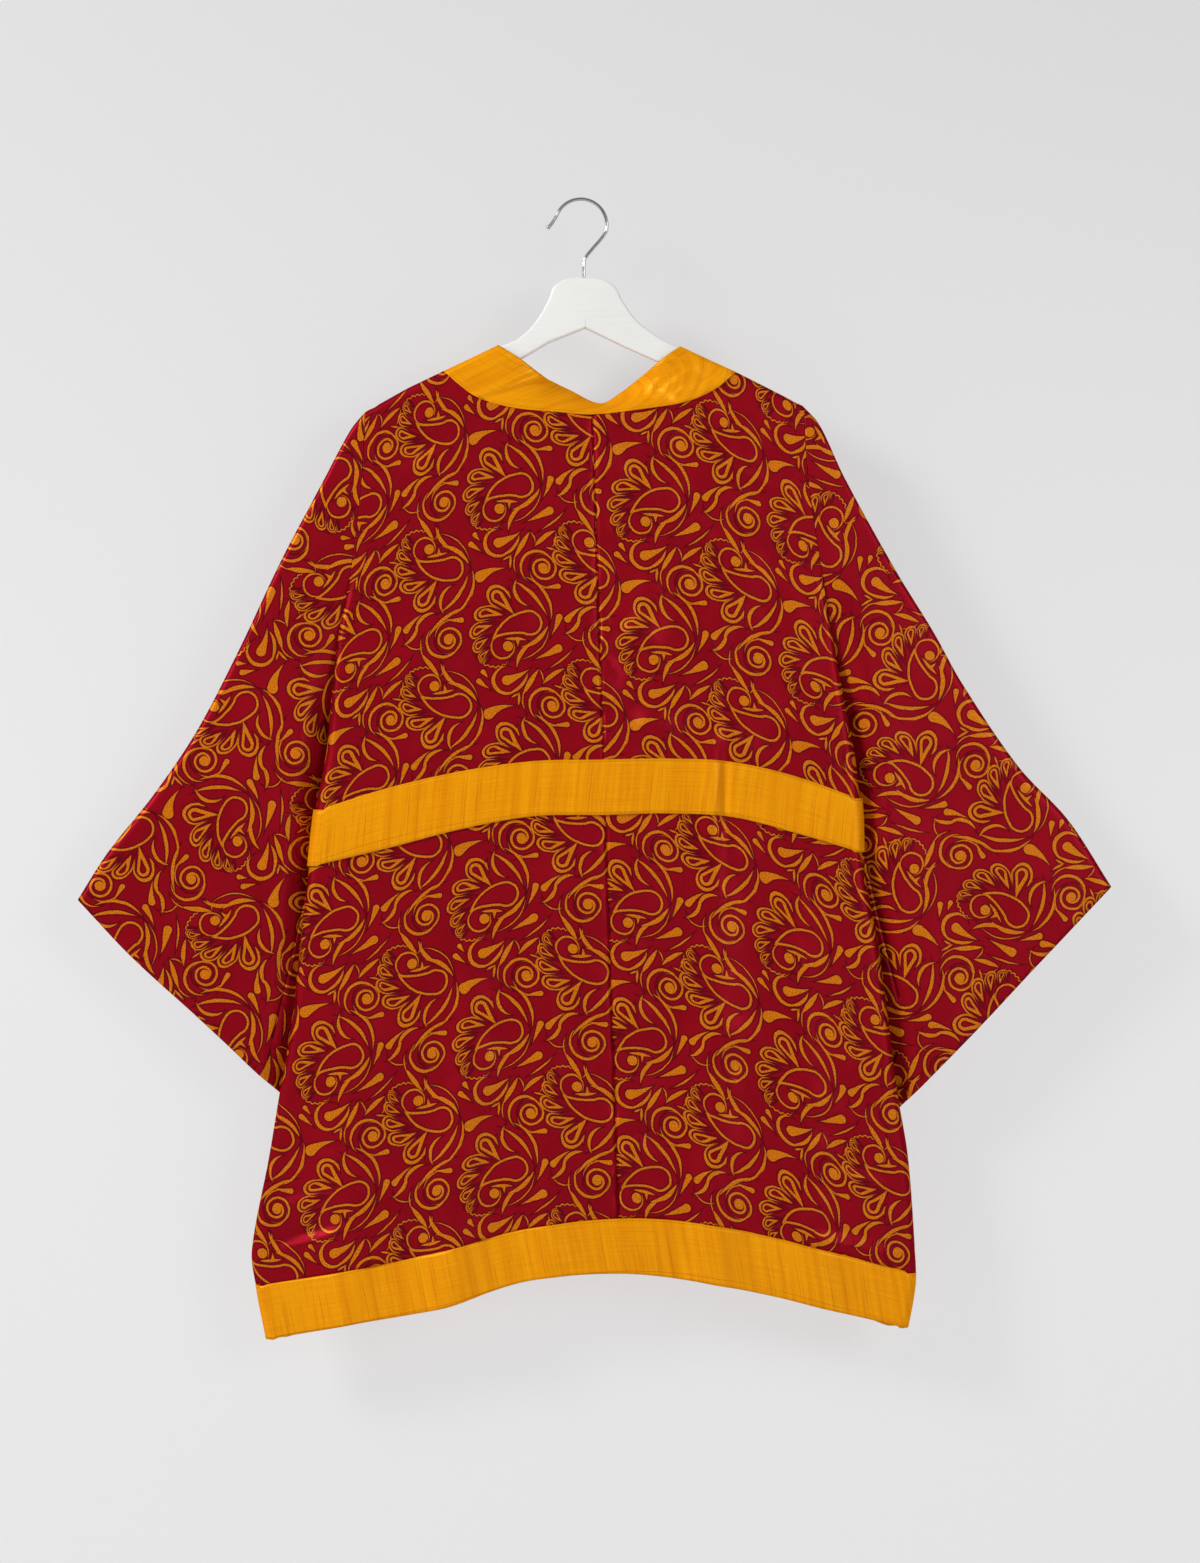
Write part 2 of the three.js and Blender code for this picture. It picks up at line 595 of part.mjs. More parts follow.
// Wire hook: a flared tip, a round crown and an S down to the stem
function hangerHook() {
  const points = [[-34.2, -27.2], [-30.6, -24.1]];
  for (let degrees = 158; degrees >= -14; degrees -= 14.4) {
    const angle = THREE.MathUtils.degToRad(degrees);
    const x = HOOK_CENTRE.x + HOOK_RADIUS * Math.cos(angle);
    points.push([x, HOOK_CENTRE.z + HOOK_RADIUS * Math.sin(angle)]);
  }
  points.push([19.1, -37.3], [9.5, -48.5], [3.4, -56.5], [2.2, -63], [2.2, -69], [2.2, -75.6]);
  const path = new THREE.CatmullRomCurve3(points.map(([x, z]) => new THREE.Vector3(x, 0, z)));
  const section = new THREE.Shape();
  section.absarc(0, 0, WIRE / 2, 0, 2 * Math.PI);
  const geometry = new THREE.ExtrudeGeometry(section, {
    steps: 60, curveSegments: 8, extrudePath: path, bevelEnabled: false,
  });
  const mesh = new THREE.Mesh(geometry, chrome);
  mesh.name = 'hanger_hook';
  return mesh;
}

const robe = new THREE.Group();
robe.add(hangerWood(), hangerHook());
for (const side of ['left', 'right']) {
  robe.add(wall(`back_${side}`, halfBack(side, BODY_ROWS, SEAM_GAP / 2), CLOTH, printedSilk));
  robe.add(wall(`front_${side}`, frontGrid(side, BODY_ROWS), CLOTH, printedSilk));
  robe.add(wall(`sleeve_${side}`, sleeveGrid(side), CLOTH, printedSilk, true));
  robe.add(wall(`neckband_${side}`, frontBand(side), BAND, goldSilk));
  robe.add(wall(`hem_${side}`, frontGrid(side, HEM_ROWS), BAND, goldSilk));
}
robe.add(wall('neckband_back', neckbandGrid(), BAND, goldSilk));
robe.add(wall('hem_back', wholeBack(HEM_ROWS), BAND, goldSilk));
const proud = CLOTH / 2 + SEAM_GAP + BAND / 2;
robe.add(wall('waistband', movedOut(wholeBack(WAIST_ROWS), proud), BAND, goldSilk));

export default robe;
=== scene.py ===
"""A hip-length kimono robe on a flat wooden hanger, seen from its back at -Y.

The cloth is worked out in millimetres in the frame's own axes: +X to the right, +Z up, and the
origin under the hook's crown. Every mesh is written in metres.
"""
import math

import bpy
import numpy as np
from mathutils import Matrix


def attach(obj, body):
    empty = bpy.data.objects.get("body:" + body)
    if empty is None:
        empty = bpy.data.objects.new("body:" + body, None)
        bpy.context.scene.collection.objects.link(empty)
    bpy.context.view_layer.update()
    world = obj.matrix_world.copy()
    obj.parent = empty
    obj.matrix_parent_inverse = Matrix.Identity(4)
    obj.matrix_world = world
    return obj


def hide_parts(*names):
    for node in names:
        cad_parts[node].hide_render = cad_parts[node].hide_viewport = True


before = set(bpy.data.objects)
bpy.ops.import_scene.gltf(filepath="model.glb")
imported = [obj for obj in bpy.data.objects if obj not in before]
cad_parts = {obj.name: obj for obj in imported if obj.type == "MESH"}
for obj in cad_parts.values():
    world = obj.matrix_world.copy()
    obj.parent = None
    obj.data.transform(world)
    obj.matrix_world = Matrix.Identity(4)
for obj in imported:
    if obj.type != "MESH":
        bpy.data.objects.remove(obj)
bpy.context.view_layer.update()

MM = 0.001
LEFT, RIGHT = -1, 1
NAMES = {LEFT: "left", RIGHT: "right"}

# The photo's height in pixels, its scale, and the camera that sees the same frame
PHOTO_HEIGHT = 1563
MM_PER_PIXEL = 0.978
CAMERA_AWAY = 3000.0
CAMERA_CENTRE = (18.1, -569.5)
SENSOR = 36.0

# Cloth: thickness of the silk and of the doubled bands, half the body's depth, the flap behind its
# side folds, the gap at its seams, and how far the fronts' hems hang above the back's
SILK, BAND = 0.9, 1.5
HALF_DEPTH = 8.5
FLAP = 18.0
SEAM_GAP = 0.3
FRONT_LIFT = 5.5
# Below the origin: top of the armhole, where the back starts to turn round the side, the underarm
ARMHOLE_TOP, ARMHOLE_CURL, UNDERARM = 207.0, 353.0, 541.0
ARMHOLE_GAP = 0.45
# Sleeve: half depth of its cuff, the cuff's swing towards the wall, depth of what hangs behind the
# body, step at the armhole seam, and rounding of the lower edge
CUFF_HALF, CUFF_SWING = 7.0, 6.5
TUCK_BEHIND, SEAM_STEP = 13.2, 2.6
LOWER_ROUND = 2.5
# Where the fronts' bands start and end across, and the centre seam of the back
FRONT_SEAM = {LEFT: -134.9, RIGHT: 151.1}
FRONT_EDGE = {LEFT: -81.7, RIGHT: 96.8}
CENTRE_SEAM = {"top": (10.8, -209.8), "low": (36.3, -995.4)}

# Height and place of the body's side folds
SIDE_FOLDS = {
    LEFT: [(-1116, -308.9), (-1063, -319.1), (-1029, -322.9), (-937, -305.9), (-876, -295.8),
           (-811, -284.6), (-719, -274.4), (-654, -266.7), (-595, -259.9), (-541, -249.9),
           (-444, -240.1), (-354, -224.0), (-273, -214.7), (-202, -210.7)],
    RIGHT: [(-1116, 317.5), (-1063, 327.0), (-1029, 326.5), (-937, 319.6), (-876, 309.6),
            (-811, 301.5), (-719, 288.8), (-654, 276.3), (-595, 273.6), (-541, 267.0),
            (-444, 248.2), (-354, 233.2), (-273, 221.6), (-202, 217.0)],
}

# Place and height of the shoulder line and of the neck seam
SHOULDER = [(-252.8, -275.6), (-219.6, -215.0), (-210.7, -207.2), (-170.7, -184.7),
            (-134.9, -167.5), (-81.7, -142.4), (-40.0, -122.0), (50.0, -122.0), (96.8, -143.6),
            (151.1, -168.5), (198.1, -192.3), (217.0, -202.0), (232.7, -219.5), (257.5, -271.7)]
NECK_SEAM = [(-134.9, -167.5), (-119.8, -180.6), (-103.2, -192.5), (-68.5, -203.0),
             (-21.6, -207.6), (10.8, -209.8), (58.2, -204.7), (103.2, -197.2), (131.3, -184.7),
             (151.1, -168.5)]
# The neckband's free edge: place, height, and how far it falls towards the wall
NECK_EDGE = [(-81.7, -142.4, 0), (-59.2, -156.3, 0), (-36.7, -173.7, 10.5), (-12.2, -187.1, 33.5),
             (18.0, -200.7, 52.5), (36.5, -191.5, 40), (62.1, -170.8, 11.5), (76.4, -158.3, 0),
             (96.8, -143.6, 0)]
# The leaning edge is raised by a share of its lean, against the camera's perspective
LEAN_RAISED = 0.13

# Heights of the level seams at nine even places, left side fold to right
WAIST_TOP = [-598, -575, -559, -549.5, -548, -547, -550, -564, -587]
WAIST_LOW = [-653, -635.5, -616.5, -603.6, -602.2, -600.7, -604.5, -620.6, -639.4]
HEM_SEAM = [-1063, -1048.5, -1030, -1007, -997, -1000.4, -1013.6, -1032, -1051.2]
HEM_EDGE = [-1115.7, -1100.3, -1084.7, -1058, -1050.7, -1058, -1071.9, -1088.5, -1104.6]
LEVELS = [WAIST_TOP, WAIST_LOW, HEM_SEAM, HEM_EDGE]

SLEEVE_FOLD = {
    LEFT: [(-211.2, -207.3), (-225.7, -225.3), (-252.8, -275.6), (-293.9, -352.9),
           (-335.3, -439.9), (-377.3, -520.1), (-419.1, -581.7), (-465.0, -639.4),
           (-494.4, -685.4)],
    RIGHT: [(217.8, -202.8), (232.7, -219.5), (257.5, -271.7), (307.3, -361.7),
            (345.2, -423.3), (373.1, -473.2), (428.9, -555.3), (477.8, -607.8),
            (519.8, -672.7)],
}
SLEEVE_CUFF = {
    LEFT: [(-494.4, -685.4), (-440.6, -742.1), (-370.2, -806.7), (-314.4, -859.5),
           (-278.2, -893.7)],
    RIGHT: [(519.8, -672.7), (442.6, -754.5), (390.4, -810.6), (337.9, -864.4),
            (298.8, -905.5)],
}

# Soft ridges: place and height of top and foot, half width, height
BACK_FOLDS = [(-95, -640, -128, -1080, 24, 9), (-38, -520, -30, -1000, 16, 3),
              (128, -480, 132, -1060, 20, 6), (205, -640, 235, -1080, 22, 4),
              (-200, -640, -235, -1080, 22, 3)]
# Drag creases of the back: height, slant, middle place, reach, half width, height of the crease
DRAG_CREASES = [(-1022, 0.30, -270, 48, 5.5, 3.4), (-984, 0.22, -282, 40, 6, 2.6),
                (-940, 0.10, -268, 36, 6, 2.0), (-1034, 0.12, -190, 40, 6, 2.2),
                (-1024, -0.2, 262, 42, 6, 2.4), (-962, -0.15, 276, 36, 6, 1.8),
                (-262, -0.45, 150, 34, 8, 1.8), (-255, 0.5, -150, 30, 8, 1.4)]
FRONT_FOLDS = [(-190, -520, -205, -1080, 24, 6), (200, -560, 222, -1080, 26, 6)]


def smooth(value, start, end):
    """Rises from 0 at start to 1 at end, as 3t^2 - 2t^3."""
    t = np.clip((value - start) / (end - start), 0, 1)
    return t * t * (3 - 2 * t)


def mix(a, b, t):
    """Straight blend of a and b: a where t is 0, b where t is 1."""
    return a + (b - a) * t


def along(rows, at):
    """Cubic through (place, value) rows: each row's slope is that between its neighbours."""
    places, values = np.array(rows, float).T
    at = np.clip(at, places[0], places[-1])
    ends = np.arange(len(places))
    before = np.maximum(ends - 1, 0)
    after = np.minimum(ends + 1, len(places) - 1)
    slopes = (values[after] - values[before]) / (places[after] - places[before])
    i = np.clip(np.searchsorted(places, at) - 1, 0, len(places) - 2)
    span = places[i + 1] - places[i]
    t = (at - places[i]) / span
    bend = t * (1 - t) ** 2 * slopes[i] - t * t * (1 - t) * slopes[i + 1]
    return mix(values[i], values[i + 1], t * t * (3 - 2 * t)) + span * bend


def path(points, parts):
    """Points at shares of a smooth curve's length: a cubic in the length of its chords."""
    points = np.array(points, float)
    steps = np.hypot(*np.diff(points, axis=0).T)
    reach = np.concatenate([[0], np.cumsum(steps)])
    fine = np.linspace(0, reach[-1], 600)
    x = along(np.column_stack([reach, points[:, 0]]), fine)
    z = along(np.column_stack([reach, points[:, 1]]), fine)
    run = np.concatenate([[0], np.cumsum(np.hypot(np.diff(x), np.diff(z)))])
    at = np.asarray(parts) * run[-1]
    return np.interp(at, run, x), np.interp(at, run, z)


def ripple(x, z, size, seed, stretch=1.0):
    """Smooth unevenness within about -1 to 1: seven plane waves near one wavelength."""
    chance = np.random.default_rng(seed)
    total = np.zeros(np.broadcast(x, z).shape)
    for _ in range(7):
        angle = chance.uniform(0, math.pi)
        wave = 2 * math.pi / (size * chance.uniform(0.7, 1.5))
        phase = chance.uniform(0, 2 * math.pi)
        total += np.sin(wave * (x * math.cos(angle) + z * math.sin(angle) / stretch) + phase)
    return total / 4


def ridge(across, width):
    """Bell curve of a half width: 1 in the middle, near 0 two widths away."""
    return np.exp(-(across / width) ** 2)


def fold_depth(folds, x, z):
    """Sum of soft ridges, each a bell across a slanted line that grows from top to foot."""
    total = 0.0
    for top_x, top_z, low_x, low_z, width, height in folds:
        t = (z - top_z) / (low_z - top_z)
        across = x - mix(top_x, low_x, t)
        total = total + height * smooth(t, 0, 0.6) * ridge(across, width)
    return total


def fold_x(side, z):
    """Place of a side fold at a height."""
    return along(SIDE_FOLDS[side], z)


def centre_x(z):
    """Place of the centre seam, a straight line that leans right."""
    (top_x, top_z), (low_x, low_z) = CENTRE_SEAM.values()
    return mix(top_x, low_x, (top_z - z) / (top_z - low_z))


def shoulder_z(x):
    """Height of the shoulder line: straight between its points."""
    return np.interp(x, *np.array(SHOULDER).T)


def top_z(x):
    """Top of the body: the neck seam between its corners, the shoulder line outside them."""
    in_neck = (x > FRONT_SEAM[LEFT]) & (x < FRONT_SEAM[RIGHT])
    return np.where(in_neck, along(NECK_SEAM, x), shoulder_z(x))


def level_z(heights, x):
    """Height of a level seam: a cubic through nine heights evenly spaced each side of the centre."""
    left = fold_x(LEFT, heights[0])
    right = fold_x(RIGHT, heights[8])
    centre = centre_x(heights[4])
    place = np.where(x < centre, 4 * (x - left) / (centre - left),
                     4 + 4 * (x - centre) / (right - centre))
    return along(list(enumerate(heights)), place)


def over_arm(below):
    """Cloth over the hanger's arm: a squarish curve from 0 at the top to 1 at a half depth."""
    t = np.clip(below / HALF_DEPTH, 0, 1)
    return np.cbrt(1 - (1 - t) ** 3)


def bent_depth(x, z):
    """Distance of the body's cloth from the hanger's middle plane."""
    return SEAM_GAP / 2 + (HALF_DEPTH - SEAM_GAP / 2) * over_arm(shoulder_z(x) - z)


def turn_in(z):
    """How far the back turns round the side: 0 at the shoulder, 1 below the underarm."""
    return smooth(-z, ARMHOLE_CURL, UNDERARM)


def side_section(turned, k):
    """Section round the side fold, k 0 at the seam and 1 at the flat back.

    Open it is straight. Turned it is a flap, then a half circle. The blend of the two is moved
    so that its outermost point is the fold.
    """
    def blend(turned, k):
        angle = math.pi * (1 - np.clip(k * 1.5 - 0.5, 0, 1))
        flap = np.clip(1 - 3 * k, 0, 1) * (FLAP - HALF_DEPTH)
        d = mix(HALF_DEPTH * k, HALF_DEPTH * (1 - np.sin(angle)) + flap, turned)
        return d, mix(-HALF_DEPTH, -HALF_DEPTH * np.cos(angle), turned)

    fine = np.linspace(0, 1, 61)
    table = blend(fine[:, None], fine[None, :])[0].min(axis=1)
    d, y = blend(turned, k)
    return d - np.interp(turned, fine, table), y


def body_rows(first, last, step):
    """Row places: 0 top, 1 waist top, 2 waist low, 3 hem seam, 4 hem edge, about step mm apart."""
    drops = [380, 54, 400, 54]
    places = []
    for level in range(first, last):
        places.append(np.linspace(level, level + 1, int(drops[level] / step) + 2)[:-1])
    return np.append(np.concatenate(places), last)


def level_ends(side):
    """Heights at the side fold and at the centre seam, for the top and each level seam."""
    fold = 0 if side == LEFT else 8
    top = (-ARMHOLE_TOP, CENTRE_SEAM["top"][1])
    return [top, *[(heights[fold], heights[4]) for heights in LEVELS]]


def row_heights(column_x, rows, below=(), top=top_z):
    """Heights of rows in columns whose place at each level is given: straight between levels.

    The first stretch starts a half depth below the top, and rows just below the top go before it.
    """
    levels = [top(column_x[0])]
    levels += [level_z(heights, x) for heights, x in zip(LEVELS, column_x[1:])]
    levels = np.array(levels)
    i = np.clip(rows.astype(int), 0, 3)
    part = (rows - i)[None, :]
    z = mix(levels[i].T, levels[i + 1].T, part)
    z = z - HALF_DEPTH * np.clip(1 - rows, 0, 1)[None, :]
    if len(below):
        z = np.column_stack([levels[0][:, None] - np.array(below)[None, :], z])
    return z


# Distances below the top of the rows that turn over the hanger's arm
OVER_ARM = [0, 0.1, 0.35, 0.75, 1.2, 2.0, 3.5, 5.5]


def onto_top(x, z, rows, below):
    """Heights moved so that the first row lies on the top line at its own x, less so lower down."""
    place = np.concatenate([np.zeros(len(below)), rows])
    off = np.clip(top_z(x[:, :1]) - z[:, :1], -1.5, 1.5)
    return z + off * np.clip(1 - place, 0, 1)


def seam_puckers(x, z):
    """Small level puckers beside the centre seam: short bells across, uneven waves down."""
    from_seam = x - centre_x(z)
    strong = 0.25 + ridge(z + 470, 90) + ridge(z + 940, 70) + 0.4 * ridge(z + 760, 60)
    waves = ripple(0 * x, z, 26, 11) + 0.6 * ripple(from_seam, z, 17, 12)
    dip = -1.3 * ridge(from_seam, 3.0)
    wide = 3.4 * strong * ripple(x, z, 62, 13) * ridge(from_seam - 26, 40)
    return dip + strong * waves * 1.6 * ridge(from_seam - 4, 17) + wide


# Middle of the kink across the waist, right of the centre
KINK = (137, -580)


def back_relief(x, z, band_only):
    """Relief of the back towards the viewer: large folds, then drag creases and puckers."""
    relief = fold_depth(BACK_FOLDS, x, z)
    relief = relief + 2.2 * ripple(x, z, 260, 3, 2.5) * smooth(-z, 240, 420)
    kink, up = x - KINK[0], z - KINK[1]
    relief = relief - 3.2 * ridge(kink - 4, 5) * ridge(up, 60)
    relief = relief + 2.6 * ridge(kink + 9, 8) * ridge(up, 75)
    if band_only:
        return relief
    over, under = z - level_z(WAIST_TOP, x), z - level_z(WAIST_LOW, x)
    away = smooth(np.abs(over), 3, 20) * smooth(np.abs(under), 3, 20)
    inside = (over < 0) & (under > 0)
    fine = seam_puckers(x, z) + 1.0 * ripple(x, z, 60, 5) + 0.3 * ripple(x, z, 24, 6)
    for height, slant, middle, reach, width, size in DRAG_CREASES:
        drag = z - height - slant * (x - middle)
        crease = ridge(drag, width) - 0.8 * ridge(drag - 2.4 * width, 1.3 * width)
        fine = fine + size * ridge(x - middle, reach) * crease
    return relief + np.where(inside, 0, fine * away)


# The columns that go round a side fold take their heights within this distance of it
TURN_STEP = 2.4


def back_grid(side, rows, below=(), turn_steps=14, flat_steps=66, band_only=False):
    """Half a back from its side seam to the centre seam, as columns of points.

    The first columns go round the side fold. The others share out the flat part, closer
    together near the corner of the neck.
    """
    edge = fold_x(side, -ARMHOLE_TOP) - side * HALF_DEPTH
    corner = (FRONT_SEAM[side] - edge) / (CENTRE_SEAM["top"][0] - edge)
    near = np.array([0.003, 0.01, 0.02, 0.035])
    even = np.linspace(0.05, 1, int(flat_steps * (1 - corner)))
    shares = np.concatenate([np.linspace(0, corner, int(flat_steps * corner) + 1)[1:],
                             mix(corner, 1, np.concatenate([near, even]))])
    k = np.linspace(0, 1, turn_steps)
    column_x = []
    for at_fold, at_centre in level_ends(side):
        fold = fold_x(side, at_fold)
        flat = mix(fold - side * HALF_DEPTH, centre_x(at_centre), shares)
        column_x.append(np.concatenate([fold - side * TURN_STEP * k, flat]))
    z = row_heights(column_x, rows, below)
    fold = fold_x(side, z)
    turned = turn_in(z)
    d, y = side_section(turned[:turn_steps], k[:, None])
    x_turn = fold[:turn_steps] - side * d
    last = side_section(turned[turn_steps:], np.ones(1))[0]
    flat = fold[turn_steps:] - side * last
    x_flat = mix(flat, centre_x(z[turn_steps:]), shares[:, None])
    z = onto_top(np.concatenate([x_turn, x_flat]), z, rows, below)
    y_turn = y * over_arm(shoulder_z(x_turn) - z[:turn_steps])
    z_flat = z[turn_steps:]
    fade = smooth(np.abs(x_flat - flat), 0, 30) * smooth(shoulder_z(x_flat) - z_flat, 4, 40)
    y_flat = -bent_depth(x_flat, z_flat) - fade * back_relief(x_flat, z_flat, band_only)
    x = np.concatenate([x_turn, x_flat])
    return np.stack([x, np.concatenate([y_turn, y_flat]), z], axis=-1)


def whole_back(rows, flat_steps=66):
    """Both halves of the back side by side, for a band that crosses it."""
    left = back_grid(LEFT, rows, flat_steps=flat_steps, band_only=True)
    right = back_grid(RIGHT, rows, flat_steps=flat_steps, band_only=True)
    return np.concatenate([left, right[::-1][1:]])


def normals(grid):
    """Unit normals of a grid: the cross product of its two central differences."""
    normal = np.cross(np.gradient(grid, axis=0), np.gradient(grid, axis=1))
    return normal / np.linalg.norm(normal, axis=-1, keepdims=True)


def front_side_x(side, z):
    """Outer edge of a front, beside the back's own edge."""
    turned = turn_in(z)
    edge = side_section(turned, np.zeros(1))[0]
    return fold_x(side, z) - side * (edge + SEAM_GAP * turned)


def front_grid(side, rows, below=(), columns=58):
    """A front from its side edge to its band, as columns of points."""
    shares = np.linspace(0, 1, columns)
    inner = FRONT_SEAM[side] + side * SEAM_GAP
    column_x = [mix(fold_x(side, at_fold), inner, shares) for at_fold, _ in level_ends(side)]
    z = row_heights(column_x, rows, below)
    z = z + FRONT_LIFT * smooth(shares, 0, 0.3)[:, None] * smooth(-z, UNDERARM, 900)
    x = mix(front_side_x(side, z), inner, shares[:, None])
    z = onto_top(x, z, rows, below)
    fade = (smooth(shares, 0.1, 0.4) * smooth(1 - shares, 0, 0.3))[:, None]
    relief = fold_depth(FRONT_FOLDS, x, z) + 1.2 * ripple(x, z, 110, 21, 2.5)
    relief = relief + 0.5 * ripple(x, z, 40, 22)
    fade = fade * smooth(shoulder_z(x) - z, 8, 60)
    return np.stack([x, bent_depth(x, z) + fade * relief, z], axis=-1)


def front_band_grid(side, columns=12):
    """Long band down a front, straight from the shoulder to the hem's lower edge."""
    x = np.linspace(FRONT_SEAM[side], FRONT_EDGE[side], columns)
    z = row_heights([x] * 5, body_rows(0, 4, 8), OVER_ARM, top=shoulder_z)
    z = z + FRONT_LIFT * smooth(-z, UNDERARM, 900)
    x = x[:, None] + 0 * z
    wave = 0.6 * ripple(x, z, 90, 31) * smooth(shoulder_z(x) - z, 10, 80)
    return np.stack([x, bent_depth(x, z) + wave, z], axis=-1)


# The neckband starts this far below its seam
NECK_OVERLAP = 0.7


def neckband_grid(rows=22):
    """Neckband across the back, from its seam to its free edge, which falls towards the wall.

    The lean grows as t^2 (1.6 - 0.6 t) up the band. A crease crosses the left part, and soft
    wrinkles lie on the right shoulder.
    """
    near = np.array([0, 0.002, 0.005, 0.01, 0.018, 0.028, 0.04])
    parts = np.concatenate([near, np.linspace(0.05, 0.95, 110), 1 - near[::-1]])
    low_x, low_z = path(NECK_SEAM, parts)
    edge_x, edge_z, edge_lean = np.array(NECK_EDGE).T
    high_x, high_z = path(np.column_stack([edge_x, edge_z]), parts)
    lean = along(np.column_stack([edge_x, edge_lean]), high_x)
    high_z = high_z + LEAN_RAISED * lean
    t = np.linspace(0, 1, rows)[None, :]
    x = mix(low_x[:, None], high_x[:, None], t)
    z = mix(low_z[:, None] - NECK_OVERLAP, high_z[:, None], t)
    z[[0, -1]] = shoulder_z(x[[0, -1]])
    over_seam = smooth(shoulder_z(x) - z, 1, 8) * smooth(-t, -0.25, 0)
    y = lean[:, None] * t * t * (1.6 - 0.6 * t) - bent_depth(x, z) - 1.2 * over_seam
    crease = (z + 182) - 0.31 * (x + 60)
    held = smooth(shoulder_z(x) - z, 3, 16) * smooth(x, -125, -100) * smooth(-x, 5, 40)
    y = y - held * (2.0 * ridge(crease - 3.5, 4.5) - 1.8 * ridge(crease + 2.5, 2.6))
    soft = smooth(x, 50, 80) * smooth(shoulder_z(x) - z, 3, 18)
    y = y - soft * (1.4 * ripple(x, z, 26, 41) + 0.9 * ripple(x, z, 13, 42))
    return np.stack([x, y, z], axis=-1)


# Rows of a sleeve: distances below its top fold, shares of its height, distances above its foot
SLEEVE_TOP_ROWS = np.array([*OVER_ARM, 8.5, 14, 20])[:, None]
SLEEVE_SHARES = np.linspace(0.085, 0.845, 62)[:, None]
SLEEVE_LOW_ROWS = np.array([46, 40, 34, 28, 23, 18, 13, 8, 5, 2.5, 1.5, 0.7, 0.25, 0])[:, None]
# The underarm point lies this far inside the flap's edge. Behind the body the sleeve is thinner.
UNDERARM_IN, HIDDEN_HALF = 0.2, 1.4


def sleeve_depth(side, x, z, r, s, length, layer):
    """Depth of a sleeve's cloth: a half depth to either side, rounded at the top and the foot.

    The lower part by the armhole hangs behind the body, and the free part comes forward to the
    body's plane.
    """
    turned = turn_in(z)
    lowered = smooth(-z, UNDERARM, UNDERARM + 40)
    hidden = 1 - smooth(side * (x - fold_x(side, z)), -4, 30)
    hidden_y = mix(-HALF_DEPTH, HALF_DEPTH, turned) + SEAM_STEP * smooth(turned, 0, 0.06)
    hidden_y = hidden_y + (TUCK_BEHIND - HALF_DEPTH - SEAM_STEP) * lowered
    free_half = mix(HALF_DEPTH, CUFF_HALF, r)
    back_y = mix(CUFF_SWING * smooth(r, 0, 1) - free_half, hidden_y, hidden)
    half = mix(free_half, mix(HALF_DEPTH, HIDDEN_HALF, turned) + lowered, hidden)
    from_low = np.clip((1 - s) * length / LOWER_ROUND, 0, 1)
    rounded = over_arm(s * length) * np.sqrt(1 - (1 - from_low) ** 2)
    open_part = smooth(s, 0.06, 0.25) * smooth(1 - s, 0.04, 0.2) * (1 - hidden) * smooth(r, 0, 0.15)
    soft = 1.3 * ripple(x, z, 150, 50 + side, 1.6) + 0.45 * ripple(x, z, 48, 52 + side)
    return back_y + half + layer * half * rounded + open_part * soft


def sleeve_grid(side, rings=120):
    """A sleeve as closed rings from armhole to cuff: down the back layer, up the front one.

    Places are a Coons patch between armhole seam, cuff, top fold and lower edge.
    """
    r = np.concatenate([np.linspace(0, 0.1, 22)[:-1], np.linspace(0.1, 1, rings - 21)])
    top_x, top_height = path(SLEEVE_FOLD[side], r)
    cuff_top, cuff_end = SLEEVE_CUFF[side][0], SLEEVE_CUFF[side][-1]
    under_x = fold_x(side, -UNDERARM) - side * (FLAP - UNDERARM_IN)
    low_x = mix(under_x, cuff_end[0], r)
    low_z = mix(-UNDERARM, cuff_end[1], r)
    length = np.hypot(top_x - low_x, top_height - low_z)
    s = np.vstack([SLEEVE_TOP_ROWS / length, SLEEVE_SHARES + 0 * length,
                   1 - SLEEVE_LOW_ROWS / length])
    count = len(s)
    layer = np.concatenate([-np.ones(count), np.ones(count - 2)])[:, None]
    s = np.concatenate([s, s[1:-1][::-1]])
    arm_x, arm_z = SLEEVE_FOLD[side][0]
    seam_z = mix(arm_z, -UNDERARM, s)
    edge = side_section(turn_in(seam_z), np.zeros(1))[0]
    back_x = fold_x(side, seam_z) - side * (edge - ARMHOLE_GAP)
    front_x = front_side_x(side, seam_z) + side * ARMHOLE_GAP
    seam_x = mix(np.where(layer < 0, back_x, front_x), under_x, smooth(s, 0.97, 1))
    mouth_x, mouth_z = path(SLEEVE_CUFF[side], s.ravel())
    mouth_x, mouth_z = mouth_x.reshape(s.shape), mouth_z.reshape(s.shape)

    def patch(seam, mouth, top, low, corners):
        ruled = mix(seam, mouth, r) + mix(top, low, s)
        return ruled - mix(mix(corners[0], corners[1], r), mix(corners[2], corners[3], r), s)

    x = patch(seam_x, mouth_x, top_x, low_x, (arm_x, cuff_top[0], under_x, cuff_end[0]))
    z = patch(seam_z, mouth_z, top_height, low_z, (arm_z, cuff_top[1], -UNDERARM, cuff_end[1]))
    y = sleeve_depth(side, x, z, r, s, length, layer)
    return np.stack([x, y, z], axis=-1)


def mesh_object(name, points, faces):
    """A mesh at the origin from points in millimetres."""
    mesh = bpy.data.meshes.new(name)
    mesh.from_pydata((np.asarray(points).reshape(-1, 3) * MM).tolist(), [], faces)
    mesh.polygons.foreach_set("use_smooth", np.ones(len(mesh.polygons), bool))
    mesh.update()
    piece = bpy.data.objects.new(name, mesh)
    bpy.context.scene.collection.objects.link(piece)
    return piece


